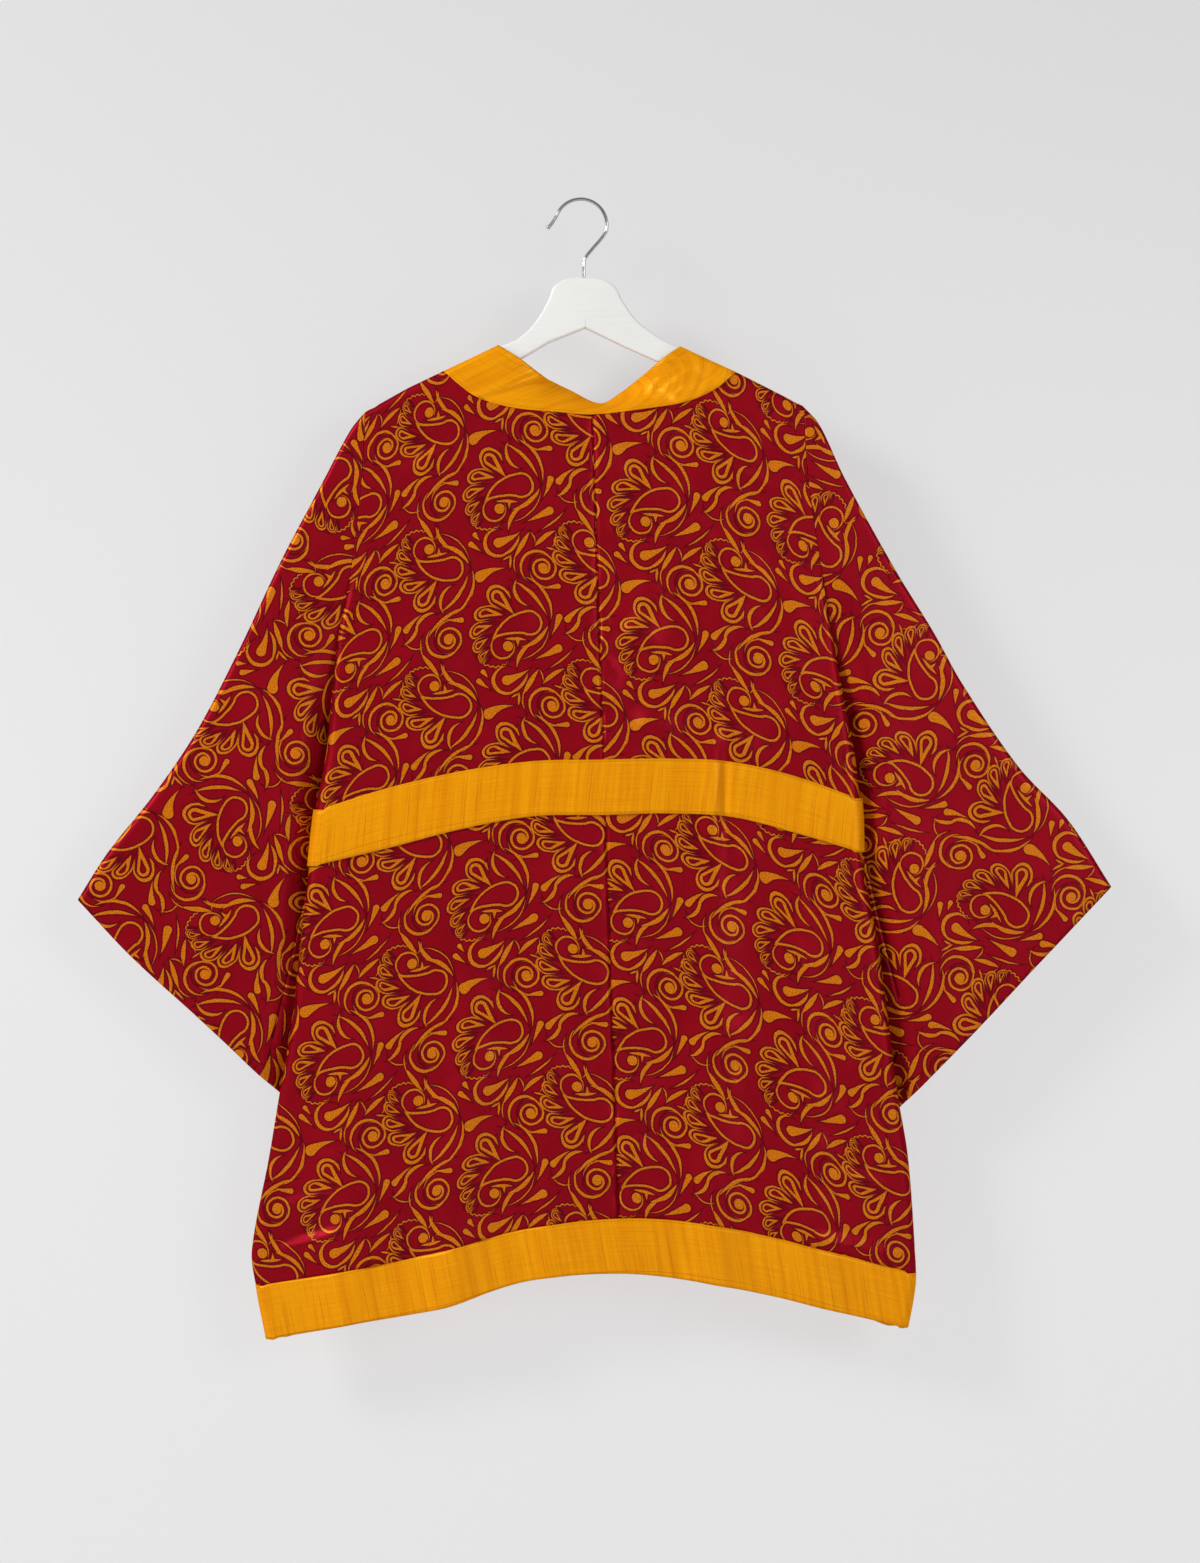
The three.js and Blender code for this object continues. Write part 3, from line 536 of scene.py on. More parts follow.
def grid_faces(across, down, ring):
    """Quads of a grid, and for each the (column, row) of its corners before the ring closes."""
    i, j = np.meshgrid(np.arange(across if ring else across - 1), np.arange(down - 1),
                       indexing="ij")
    i, j = i.ravel(), j.ravel()
    corners = np.stack([np.stack([i, i + 1, i + 1, i], 1), np.stack([j, j, j + 1, j + 1], 1)], -1)
    return (corners[..., 0] % across) * down + corners[..., 1], corners


def hex_colour(code):
    """Linear colour of an sRGB hex code."""
    parts = [int(code[k:k + 2], 16) / 255 for k in (1, 3, 5)]
    linear = [c / 12.92 if c <= 0.04045 else ((c + 0.055) / 1.055) ** 2.4 for c in parts]
    return (*linear, 1.0)


class Value:
    """What a node gives out. Arithmetic on values adds Math nodes."""

    def __init__(self, tree, socket):
        self.tree = tree
        self.socket = socket

    def other(self, output):
        """Another output of the same node."""
        return Value(self.tree, self.socket.node.outputs[output])

    def maths(self, operation, *others):
        """A Math node of this value and others."""
        return add(self.tree, "Math", [self, *others], operation=operation)

    def times_plus(self, factor, start):
        """The value times a factor, plus a start."""
        return self.maths("MULTIPLY_ADD", factor, start)

    def __add__(self, other):
        return self.maths("ADD", other)

    def __sub__(self, other):
        return self.maths("SUBTRACT", other)

    def __rsub__(self, other):
        return add(self.tree, "Math", [other, self], operation="SUBTRACT")

    def __mul__(self, other):
        return self.maths("MULTIPLY", other)

    def __truediv__(self, other):
        return self.maths("DIVIDE", other)

    def __abs__(self):
        return self.maths("ABSOLUTE")


def add(tree, kind, inputs=(), output=0, **settings):
    """Adds a node, sets its settings, and sets or links its inputs by number or name."""
    node = tree.nodes.new("ShaderNode" + kind)
    for setting, value in settings.items():
        setattr(node, setting, value)
    pairs = inputs.items() if isinstance(inputs, dict) else enumerate(inputs)
    for key, value in pairs:
        if isinstance(value, Value):
            tree.links.new(value.socket, node.inputs[key])
        else:
            node.inputs[key].default_value = value
    return Value(tree, node.outputs[output]) if len(node.outputs) else None


def vector(operation, first, *others, output=0):
    """A vector maths node. Its output 1 is a number."""
    return add(first.tree, "VectorMath", [first, *others], output, operation=operation)


def reach_of(place):
    """Distance of a place from its origin."""
    return vector("LENGTH", place, output=1)


def parted(place):
    """The x of a place. Its other outputs 1 and 2 are y and z."""
    return add(place.tree, "SeparateXYZ", [place])


def least(first, *others):
    """The least of some values."""
    for other in others:
        first = first.maths("MINIMUM", other)
    return first


def largest(first, *others):
    """The largest of some values."""
    for other in others:
        first = first.maths("MAXIMUM", other)
    return first


def ramp(value, start, end, low=0.0, high=1.0):
    """Goes straight from low at start to high at end, and is level outside them."""
    return add(value.tree, "MapRange", {"Value": value, "From Min": start, "From Max": end,
                                        "To Min": low, "To Max": high})


def noise(place, detail, scale=1.0, output=0, **more):
    """Soft noise about 1 / scale wide."""
    inputs = {"Vector": place, "Scale": scale, "Detail": detail, **more}
    return add(place.tree, "TexNoise", inputs, output)


def stretched(place, scales, moved=(0, 0, 0)):
    """Place scaled by an amount along each axis, for a noise longer one way than the other."""
    return add(place.tree, "Mapping", [place, moved, (0, 0, 0), scales])


def blend(share, low, high):
    """Blend of two colours, each a hex code or a value."""
    low, high = [hex_colour(end) if isinstance(end, str) else end for end in (low, high)]
    return add(share.tree, "Mix", {0: share, 6: low, 7: high}, 2, data_type="RGBA")


def bumped(height, strength, distance):
    """Fine relief from a height."""
    return add(height.tree, "Bump", {"Strength": strength, "Distance": distance,
                                     "Height": height})


def new_material(name):
    """An empty node material and its tree."""
    material = bpy.data.materials.new(name)
    material.use_nodes = True
    material.node_tree.nodes.clear()
    return material, material.node_tree


# Printed silk: one repeat of paisleys, scrolls and drops, in millimetres with y upwards. Each pair
# is a motif and its copy turned over, as in a glide.
REPEAT = (160.0, 135.0, 1000.0)
PAISLEYS = {"place": (-7.0, 8.0), "copy": (79.0, -68.8)}
SCROLLS = {"place": (28.0, 62.0), "copy": (91.0, -3.0)}

# Paisley body: discs of its round end and upper edge, and the one its lower edge keeps out of
ROUND_END = (11.5, 8.0, 12.7)
UPPER_EDGE = (12.6, -20.3, 40.9)
LOWER_EDGE = (-4.0, -62.5, 60.0)
BODY_JOIN = 12.0
BODY_BALL = (-11, -14, 5.0)
BODY_LINE = 1.15
# Scallops under the curl, as an arc with lobes a turn and their height
LACE = (-24, -12, 20.6, 262, 46, 0.8, 13, 1.6)
# Scroll: turn in degrees, distance between its windings, half width of its line, outer radius
SPIRAL = (184, 6.4, 1.2, 13.6)
SPIRAL_BALL = (0, 0, 4.7)

# Arcs: centre x, y, radius, middle and half span in degrees, half width.
# Drops: round end x, y, angle of the point, radius, length, bend.
# Leaves: middle x, y, angle, length, width, bend.
PAISLEY = {
    "arcs": [(-16, -14.5, 11.2, 245, 150, 1.1), (16.5, 41.5, 17.7, 200, 54, 1.7),
             (-29, -5, 61, 41, 22, 1.8), (-3.4, 19, 36.9, 28, 41, 1.6),
             (-3.4, 20, 35.9, -53, 29, 2.2), (27.5, -39, 31.3, 144, 30, 2.0),
             (-4, 7, 34.7, -46, 38, 0.7)],
    "drops": [(-1, -8.5, 268, 1.7, 6.5, 0)],
    "leaves": [(-3, -7, -5, 22, 3.0, 0.006)],
}
SCROLL = {
    "arcs": [(-5.3, 0, 16.3, 120, 114, 1.5), (4, -2, 17, 232, 48, 0.7),
             (-6, 4, 22, 175, 28, 0.7), (-18, 26, 12, 20, 32, 0.7)],
    "drops": [(14, -18, 184, 2.6, 17, -0.004)],
    "leaves": [(-19, 23, 57, 30, 4.8, 0)],
}
# Groups between the pairs, each near a place of its own
SINGLES = [
    {"near": (-14, -48),
     "arcs": [(-14, -47, 13.3, 205, 118, 1.9), (-18, -35, 25.5, -47, 35, 1.6)],
     "drops": [(-14, -47.5, 14, 4.8, 24, -0.008), (-37, -37.5, 305, 2.4, 8, 0),
               (-41.5, -46.5, 320, 2.8, 13, 0)],
     "leaves": []},
    {"near": (62, -8),
     "arcs": [(76.6, 7, 17.9, 130, 48, 1.9), (40.2, 17.9, 21, -38, 36, 1.9),
              (60, 5, 13.5, 250, 50, 0.7), (122.5, -33, 61.7, 125, 22, 1.7)],
     "drops": [(41, 14, 252, 3.2, 20, 0.006), (38, -17, 209, 4.2, 25, 0.003),
               (49, 12, 52, 3.3, 21, 0.012)],
     "leaves": [(41, -28, 38, 30, 1.9, -0.006)]},
    {"near": (2, 72),
     "arcs": [(23, 95, 20, -18, 25, 0.7)],
     "drops": [(-34, 56, 37, 5.4, 24, 0.017)],
     "leaves": [(31, 92, 36, 27, 4.4, 0.008), (-3.4, 69, 84, 14, 2.4, 0),
                (-7, 72.5, 25, 9, 2.0, 0), (37, 80.5, -16, 11, 1.8, 0)]},
]


def local(spot, x, y, degrees, bend=0.0):
    """Place within a motif: centred, turned, then bent by bend times x squared."""
    turned = add(spot.tree, "Mapping", [spot, (x, y, 0), (0, 0, math.radians(degrees))],
                 vector_type="TEXTURE")
    px = parted(turned)
    py = px.other(1)
    if bend:
        py = (px * px).times_plus(bend, py)
        turned = add(spot.tree, "CombineXYZ", [px, py])
    return turned, px, py


def taper(angle, half_span, half_width):
    """Half width of an arc: half width times (1 - (angle / half span) squared)."""
    return (angle * angle).times_plus(-half_width / math.radians(half_span) ** 2, half_width)


def arc(spot, x, y, radius, middle, half_span, half_width):
    """Signed distance to a tapered arc: |r - radius| less its half width at the angle."""
    turned, px, py = local(spot, x, y, middle)
    width = taper(py.maths("ARCTAN2", px), half_span, half_width)
    return abs(reach_of(turned) - radius) - width


def scallops(spot, x, y, radius, middle, half_span, half_width, lobes, height):
    """Signed distance to a scalloped arc: the radius grows by height |sin(lobes times angle)|."""
    turned, px, py = local(spot, x, y, middle)
    angle = py.maths("ARCTAN2", px)
    rim = abs((angle * lobes).maths("SINE")).times_plus(height, radius)
    return abs(reach_of(turned) - rim) - taper(angle, half_span, half_width)


def ball(spot, x, y, radius):
    """Signed distance to a disc."""
    return vector("DISTANCE", spot, (x, y, 0), output=1) - radius


def drop_shape(turned, px, py, radius, length):
    """Signed distance to a drop: a circle and its two tangents from a point length away.

    r cos(max(0, tangent angle - angle)) - radius, with the angle taken from the point's side.
    """
    lag = math.acos(radius / length) - abs(py).maths("ARCTAN2", px)
    return reach_of(turned).times_plus(largest(lag, 0.0).maths("COSINE"), -radius)


def drop(spot, x, y, degrees, radius, length, bend):
    """A drop whose round end is at x, y and whose point lies length away at an angle."""
    return drop_shape(*local(spot, x, y, degrees, bend), radius, length)


def leaf(spot, x, y, degrees, length, width, bend):
    """Signed distance to a leaf: where two equal circles overlap."""
    _, px, py = local(spot, x, y, degrees, bend)
    radius = (length * length + width * width) / (4 * width)
    moved = add(spot.tree, "CombineXYZ", [px, abs(py) + (radius - width / 2)])
    return reach_of(moved) - radius


def paisley_body(spot):
    """Signed distance to the body: the round end, or what lies left of it between two edges."""
    above_lower = ball(spot, *LOWER_EDGE) * -1.0
    tail = largest(ball(spot, *UPPER_EDGE), above_lower, parted(spot) - BODY_JOIN)
    return least(tail, ball(spot, *ROUND_END))


def outline(distance, inset, half_width):
    """A line of a half width, inset from a shape's edge."""
    return abs(distance + inset) - half_width


def spiral(spot, degrees, pitch, half_width, outer):
    """Signed distance to a spiral about the origin.

    The line lies where r / pitch - angle / (one turn) is a whole number and a half.
    """
    turned, px, py = local(spot, 0, 0, degrees)
    r = reach_of(turned)
    turns = py.maths("ARCTAN2", px) * (-0.5 / math.pi)
    winding = r.times_plus(1 / pitch, turns).maths("WRAP", 1.0, 0.0)
    return largest(abs(winding - 0.5).times_plus(pitch, -half_width), r - outer)


# Fan of petals: hub, angle where it closes up, and ratio of one petal's angle to the next. The
# first petals reach further. The fan ends at two angles, cut as seen at a middle radius.
FAN_HUB = (-1.0, 14.0)
FAN_CLOSES = 252.7
FAN_RATIO = 1.465
FAN_REACH, FAN_GROWTH, FAN_GROWS_FROM = 27.7, 19.1, 1.70
FAN_FIRST, FAN_LAST, FAN_SMALLEST = 2.62, 0.36, 0.2
FAN_MIDDLE = 20.0
# A petal in units of its own half width: radius, length, line, and the crescent's gap and width
PETAL_RADIUS, PETAL_LENGTH, PETAL_LINE = 0.56, 2.1, 0.135
CRESCENT_OFF, CRESCENT_WIDTH, CRESCENT_THINS = 0.31, 0.09, -0.07


def petals(spot):
    """Petals round a hub, each smaller than the last by one ratio.

    The logarithm of the angle left until the fan closes is wrapped to one petal. Each petal is a
    hollow drop inside a crescent, drawn in units of its own half width.
    """
    turned, px, py = local(spot, *FAN_HUB, FAN_CLOSES)
    r = reach_of(turned)
    left = (py * -1.0).maths("ARCTAN2", px)
    angle = largest(left, FAN_SMALLEST)
    step = angle.maths("LOGARITHM", FAN_RATIO).maths("WRAP", 0.5, -0.5)
    reach = largest(FAN_GROWS_FROM - angle, 0.0).times_plus(FAN_GROWTH, FAN_REACH)
    half = reach * angle * (math.log(FAN_RATIO) / 2)
    out = (reach - r) / half
    across = r / reach * step * 2.0
    place = add(spot.tree, "CombineXYZ", [out, across])
    petal = drop_shape(place, out, across, PETAL_RADIUS, PETAL_LENGTH)
    hollow = outline(petal, PETAL_LINE, PETAL_LINE)
    crescent = abs(petal - CRESCENT_OFF) - out.times_plus(CRESCENT_THINS, CRESCENT_WIDTH)
    past_ends = largest(left - FAN_FIRST, FAN_LAST - left) * FAN_MIDDLE
    return largest(least(hollow, crescent) * half, past_ends)


def repeated(spot, x, y):
    """Place within one repeat, centred on x, y."""
    half = [size / 2 for size in REPEAT]
    return vector("WRAP", vector("SUBTRACT", spot, (x, y, 0)), half, [-h for h in half])


def glided(spot, pair):
    """Place within the nearer of a group and its copy, the copy turned over from top to foot."""
    here = repeated(spot, *pair["place"])
    there = vector("MULTIPLY", repeated(spot, *pair["copy"]), (1, -1, 1))
    near = reach_of(there).maths("LESS_THAN", reach_of(here))
    return add(spot.tree, "Mix", {0: near, 4: here, 5: there}, 1, data_type="VECTOR")


def group(spot, rows):
    """Signed distances to a group's arcs, drops and leaves."""
    return [*[arc(spot, *row) for row in rows["arcs"]], *[drop(spot, *row) for row in rows["drops"]],
            *[leaf(spot, *row) for row in rows["leaves"]]]


def print_distance(spot):
    """Signed distance to the gold of the print, in mm: the least over all motifs."""
    paisley = vector("ADD", glided(spot, PAISLEYS), (*PAISLEYS["place"], 0))
    scroll = glided(spot, SCROLLS)
    motifs = [outline(paisley_body(paisley), BODY_LINE, BODY_LINE), petals(paisley),
              ball(paisley, *BODY_BALL), scallops(paisley, *LACE), *group(paisley, PAISLEY),
              spiral(scroll, *SPIRAL), ball(scroll, *SPIRAL_BALL), *group(scroll, SCROLL)]
    for single in SINGLES:
        x, y = single["near"]
        near = vector("ADD", repeated(spot, x, y), (x, y, 0))
        motifs += group(near, single)
    return least(*motifs)


def silk_surface(tree, colour, shine, bump, roughness, share):
    """Silk: dull cloth under a small share of coloured highlight, as dyed silk keeps its hue."""
    dull = add(tree, "BsdfPrincipled", {
        "Base Color": colour, "Roughness": 0.5, "Specular IOR Level": 0.0, "Normal": bump})
    satin = add(tree, "BsdfAnisotropic", {"Color": shine, "Roughness": roughness, "Normal": bump})
    add(tree, "OutputMaterial", [add(tree, "MixShader", [share, dull, satin])])


def printed_silk():
    """Printed habotai silk: a crimson ground with a soft sheen, gold motifs, dark keylines."""
    material, tree = new_material("printed_silk")
    cut = add(tree, "UVMap", uv_map="cut")
    spot = add(tree, "VectorMath", {0: cut, "Scale": 1000.0}, operation="SCALE")
    # The hand of the printer: edges wander by about half a millimetre
    wander = noise(cut, 1.0, 110.0, output=1)
    distance = print_distance(vector("MULTIPLY_ADD", wander, (1.2, 1.2, 0), spot))
    gold = ramp(distance, 0.15, -0.3)
    # Painted sheen: the ground goes lighter and darker in soft patches some 60 mm wide, and the
    # plain weave shows as a grain of about 1 mm
    ground = blend(noise(cut, 2.0, 16.0), "#640208", "#870712")
    weave = ramp(noise(cut, 0.0, 900.0), 0.35, 0.65)
    metal = blend(weave, "#A84800", "#D87606")
    inked = blend(ramp(distance, 1.7, 0.8), ground, "#340306")
    shine = blend(gold, "#F4304A", "#FFB84A")
    bump = bumped(weave, 0.15, 0.3 * MM)
    silk_surface(tree, blend(gold, inked, metal), shine, bump, 0.44, 0.14)
    return material


STITCH_ROWS = (0.0022, 0.0515)
STITCH_STEP = 0.003


def edge_stitches(cut):
    """Two rows of small stitches, each a dash of three fifths of the stitch length."""
    along_band = parted(cut)
    nearest = least(*[abs(along_band.other(1) - place) for place in STITCH_ROWS])
    on_row = ramp(nearest, 0.6 * MM, 0.3 * MM, high=0.55)
    return on_row * along_band.maths("WRAP", STITCH_STEP, 0.0).maths("LESS_THAN", 0.6 * STITCH_STEP)


def gold_silk():
    """Dupion silk: thick uneven weft threads cross the band, so streaks run over its width."""
    material, tree = new_material("gold_dupion_silk")
    cut = add(tree, "UVMap", uv_map="cut")
    # Weft slubs: 1 to 3 mm apart and 40 mm or more long, across the band
    slub = noise(stretched(cut, (700.0, 10.0, 1.0)), 3.0, Roughness=0.6)
    patches = noise(stretched(cut, (110.0, 5.0, 1.0), (3.1, 1.7, 0)), 2.0)
    # Fine warp along the band, drawn at 1.2 mm so that it shows
    warp = noise(stretched(cut, (16.0, 1000.0, 1.0)), 1.0)
    base = blend(ramp(patches, 0.3, 0.7), "#E88C02", "#FBA808")
    base = blend(ramp(warp, 0.3, 0.8, high=0.4), base, "#C46A02")
    colour = blend(ramp(slub, 0.54, 0.72) * 0.6, base, "#B45202")
    colour = blend(edge_stitches(cut), colour, "#9C4A04")
    bump = bumped(slub.times_plus(0.6, warp), 0.3, 0.5 * MM)
    silk_surface(tree, colour, hex_colour("#FFB63A"), bump, 0.38, 0.12)
    return material


def painted_wood():
    """Beech under white satin paint: nearly smooth, with a hairline where its halves meet."""
    material, tree = new_material("white_painted_beech")
    place = add(tree, "TexCoord", output=3)
    apart = parted(place)
    seam = ramp(abs(apart + -3.6 * MM), 0.5 * MM, 0.1 * MM)
    line = seam * ramp(apart.other(2), -0.116, -0.119) * 0.5
    stroke = noise(stretched(place, (30.0, 30.0, 260.0)), 2.0)
    colour = blend(line, blend(stroke, "#E4E4E0", "#EDEDEA"), "#A9A5A0")
    shader = add(tree, "BsdfPrincipled", {
        "Base Color": colour, "Roughness": 0.38, "Specular IOR Level": 0.45,
        "Normal": bumped(stroke, 0.08, 0.3 * MM)})
    add(tree, "OutputMaterial", [shader])
    return material


def chromed_wire():
    """Chrome-plated steel wire: a bright mirror with faint drawing marks."""
    material, tree = new_material("chromed_steel_wire")
    marks = noise(add(tree, "TexCoord", output=3), 2.0, 900.0)
    shader = add(tree, "BsdfPrincipled", {"Base Color": hex_colour("#B9BABC"), "Metallic": 1.0,
                                          "Roughness": ramp(marks, 0.0, 1.0, 0.12, 0.26)})
    add(tree, "OutputMaterial", [shader])
    return material


def floor_material():
    """Matt pale card under the robe."""
    material, tree = new_material("floor_card")
    add(tree, "OutputMaterial", [add(tree, "BsdfDiffuse", [hex_colour("#E9E9E8")])])
    return material


def wall_material():
    """A pale card half lit from within by a painted glow that lifts its shadows, the glow weaker at
    its top as painted shade, and clear from behind.
    """
    material, tree = new_material("wall_card")
    height = parted(add(tree, "TexCoord", output=3)).other(2)
    # Painted light: the card glows, less strongly towards its top as painted shade
    glow = add(tree, "Emission", [hex_colour("#FDFDFE"), ramp(height, -0.6, 0.25, 0.83, 0.69)])
    card = add(tree, "BsdfDiffuse", [hex_colour("#E7E7E6")])
    lit = add(tree, "MixShader", [0.72, card, glow])
    behind = add(tree, "NewGeometry", output=6)
    surface = add(tree, "MixShader", [behind, lit, add(tree, "BsdfTransparent")])
    add(tree, "OutputMaterial", [surface])
    return material


PRINT_CLOTH = {"ending": "print", "thickness": SILK, "slot": "printed_silk",
               "material": printed_silk()}
GOLD_CLOTH = {"ending": "gold", "thickness": BAND, "slot": "gold_silk", "material": gold_silk()}


def dress(piece, node, material):
    """The piece stands for a node of the frame, moves with its body and has its finish."""
    piece.data.materials.append(material)
    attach(piece, "root")
    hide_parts(node)


def cloth(node, kind, grid, pattern, outward=1, ring=False):
    """A cloth piece: the grid given a thickness, with the pattern's place in mm as its UV map."""
    faces, corners = grid_faces(*grid.shape[:2], ring)
    if outward < 0:
        faces, corners = faces[:, ::-1], corners[:, ::-1]
    piece = mesh_object(f"{node}_{kind['ending']}", grid, faces.tolist())
    uv = piece.data.uv_layers.new(name="cut")
    uv.data.foreach_set("uv", (pattern[corners[..., 0], corners[..., 1]] * MM).ravel())
    solid = piece.modifiers.new("thickness", "SOLIDIFY")
    solid.thickness = kind["thickness"] * MM
    solid.offset = 0
    dress(piece, node, kind["material"])
    return piece


def run_lengths(grid, axis):
    """Length of cloth from the first point along an axis of the grid."""
    steps = np.linalg.norm(np.diff(grid, axis=axis), axis=-1)
    start = np.zeros_like(np.take(grid[..., 0], [0], axis=axis))
    return np.concatenate([start, np.cumsum(steps, axis=axis)], axis=axis)


def turned_print(u, v, degrees, phase):
    """Place in the print: turned by an angle, then moved by a phase, in mm."""
    angle = math.radians(degrees)
    across = u * math.cos(angle) + v * math.sin(angle) + phase[0]
    up = v * math.cos(angle) - u * math.sin(angle) + phase[1]
    return np.stack([across, up], axis=-1)


def band_pattern(grid, length_axis=0):
    """Place on a band: its length, then its width, in mm."""
    return np.stack([run_lengths(grid, length_axis), run_lengths(grid, 1 - length_axis)], axis=-1)


def surface_area(grid, ring=False):
    """Area of a grid in square metres: half the cross products of its cells' diagonals."""
    if ring:
        grid = np.concatenate([grid, grid[:1]])
    one = grid[1:, 1:] - grid[:-1, :-1]
    other = grid[1:, :-1] - grid[:-1, 1:]
    area = float(np.linalg.norm(np.cross(one, other), axis=-1).sum() / 2) * MM * MM
    return round(area, 3)


# Upper body and skirt are cut apart under the waistband, so the print jumps there. The rows of
# the print sag beside the centre as the waistband does, by a share of its own fall.
SAG = 0.8
UPPER = {LEFT: {"phase": (-68.0, 18.5), "lean": 0.03, "rise": -0.045},
         RIGHT: {"phase": (-51.0, 29.5), "lean": 0.03, "rise": -0.04}}
SKIRT = {LEFT: {"phase": (-49.0, 12.0), "lean": 0.0, "rise": -0.04},
         RIGHT: {"phase": (-30.0, 16.0), "lean": 0.0, "rise": -0.13}}


def back_print(cut, seam, u, x, z):
    """Place in the print: leant across, with rows that sag as the seam does and rise with u."""
    sag = SAG * (level_z(seam, x) - seam[4])
    across = u + cut["lean"] * z + cut["phase"][0]
    return np.stack([across, z - sag - cut["rise"] * u + cut["phase"][1]], axis=-1)


def make_backs():
    """Two halves of the back, each with its own place in the print."""
    rows = body_rows(0, 3, 4.4)
    for side in (LEFT, RIGHT):
        grid = back_grid(side, rows, OVER_ARM)
        reach = run_lengths(grid, 0)
        u = (reach[-1:] - reach) * side
        x, z = centre_x(grid[..., 2]) + u, grid[..., 2]
        upper = back_print(UPPER[side], WAIST_TOP, u, x, z)
        skirt = back_print(SKIRT[side], WAIST_LOW, u, x, z)
        below = np.concatenate([np.zeros(len(OVER_ARM)), rows]) > 1.5
        pattern = np.where(below[None, :, None], skirt, upper)
        piece = cloth(f"back_{NAMES[side]}", PRINT_CLOTH, grid, pattern)
        surface_area(grid)


def make_fronts():
    """Two fronts, hidden behind the back, with the print upright as seen from the front."""
    rows = body_rows(0, 3, 6)
    hem_rows = body_rows(3, 4, 6)
    for side in (LEFT, RIGHT):
        name = NAMES[side]
        grid = front_grid(side, rows, OVER_ARM)
        pattern = turned_print(-grid[..., 0], grid[..., 2], 0, (20 + 45 * side, 10))
        piece = cloth(f"front_{name}", PRINT_CLOTH, grid, pattern)
        surface_area(grid)
        hem = front_grid(side, hem_rows)
        piece = cloth(f"hem_{name}", GOLD_CLOTH, hem, band_pattern(hem))
        band = front_band_grid(side)
        piece = cloth(f"neckband_{name}", GOLD_CLOTH, band, band_pattern(band, 1))


SLEEVE_TURN = {LEFT: 50.0, RIGHT: -54.0}
SLEEVE_PHASE = {LEFT: (46.0, -4.0), RIGHT: (-7.0, 74.0)}


def sleeve_pattern(side, grid):
    """Print on a sleeve: the front layer is folded out over the top fold, then both turned."""
    x, z = grid[..., 0], grid[..., 2]
    start = np.array(SLEEVE_FOLD[side][0])
    line = np.array(SLEEVE_FOLD[side][-1]) - start
    line = line / np.hypot(*line)
    off = (x - start[0]) * -line[1] + (z - start[1]) * line[0]
    count = (grid.shape[0] + 2) // 2
    front = (np.arange(grid.shape[0]) >= count)[:, None]
    x = np.where(front, x - 2 * off * -line[1], x)
    z = np.where(front, z - 2 * off * line[0], z)
    pattern = turned_print(x, z, SLEEVE_TURN[side], SLEEVE_PHASE[side])
    return np.concatenate([pattern, pattern[:1]])


def make_sleeves():
    """Two wide sleeves, each one closed tube of cloth."""
    for side in (LEFT, RIGHT):
        grid = sleeve_grid(side)
        piece = cloth(f"sleeve_{NAMES[side]}", PRINT_CLOTH, grid, sleeve_pattern(side, grid),
                      outward=-side, ring=True)
        surface_area(grid, ring=True)


# The waistband stands off the back as in the frame: half of each wall there, and the seam's gap
BACK_WALL, BAND_WALL = 1.4, 2.0


def make_bands():
    """Gold bands across the back: neck, waist and hem."""
    neck = neckband_grid()
    piece = cloth("neckband_back", GOLD_CLOTH, neck, band_pattern(neck), outward=-1)
    waist = whole_back(np.linspace(1, 2, 14), flat_steps=90)
    waist = waist - normals(waist) * (BACK_WALL / 2 + SEAM_GAP + BAND_WALL / 2)
    piece = cloth("waistband", GOLD_CLOTH, waist, band_pattern(waist))
    hem = whole_back(np.linspace(3, 4, 14), flat_steps=90)
    piece = cloth("hem_back", GOLD_CLOTH, hem, band_pattern(hem))


# Hanger: outline of the neck, underside and rounded ends, and the hook's wire
WOOD, WOOD_EDGE = 12.0, 2.4
HANGER_NECK = [(-63.1, -136.4), (-51.4, -126.6), (-41.9, -114.5), (-32.2, -97.1),
               (-27.5, -85.0), (-14.8, -76.9), (2.6, -75.9), (20.1, -77.2), (33.0, -85.0),
               (39.4, -97.1), (52.9, -116.5), (64.6, -126.6), (78.1, -136.2)]
HANGER_UNDERSIDE = [(74.2, -158.1), (37.5, -141.6), (3.6, -125.2), (-32.2, -139.7),
                    (-58.3, -155.1)]
HANGER_END = {LEFT: (-208.5, -219.5), RIGHT: (215.0, -214.0)}
HANGER_END_RADIUS = 8.0
WOOD_BELOW_CLOTH = 1.9


def hanger_outline():
    """Outline of the wood, clockwise from its left end, as the frame's own solid has it."""
    def round_end(side, start, stop):
        angles = np.radians(np.linspace(start, stop, 24))
        x, z = HANGER_END[side]
        return np.column_stack([x + HANGER_END_RADIUS * np.cos(angles),
                                z + HANGER_END_RADIUS * np.sin(angles)])

    def arm(places):
        places = np.array(places, float)
        return np.column_stack([places, shoulder_z(places) - WOOD_BELOW_CLOTH])

    neck = np.column_stack(path(HANGER_NECK, np.linspace(0, 1, 90)))
    return np.concatenate([
        round_end(LEFT, 270, 120), arm([-190, -170.7, -134.9, -81.7]), neck,
        arm([96.8, 151.1, 198.1]), round_end(RIGHT, 60, -90), np.array(HANGER_UNDERSIDE)])


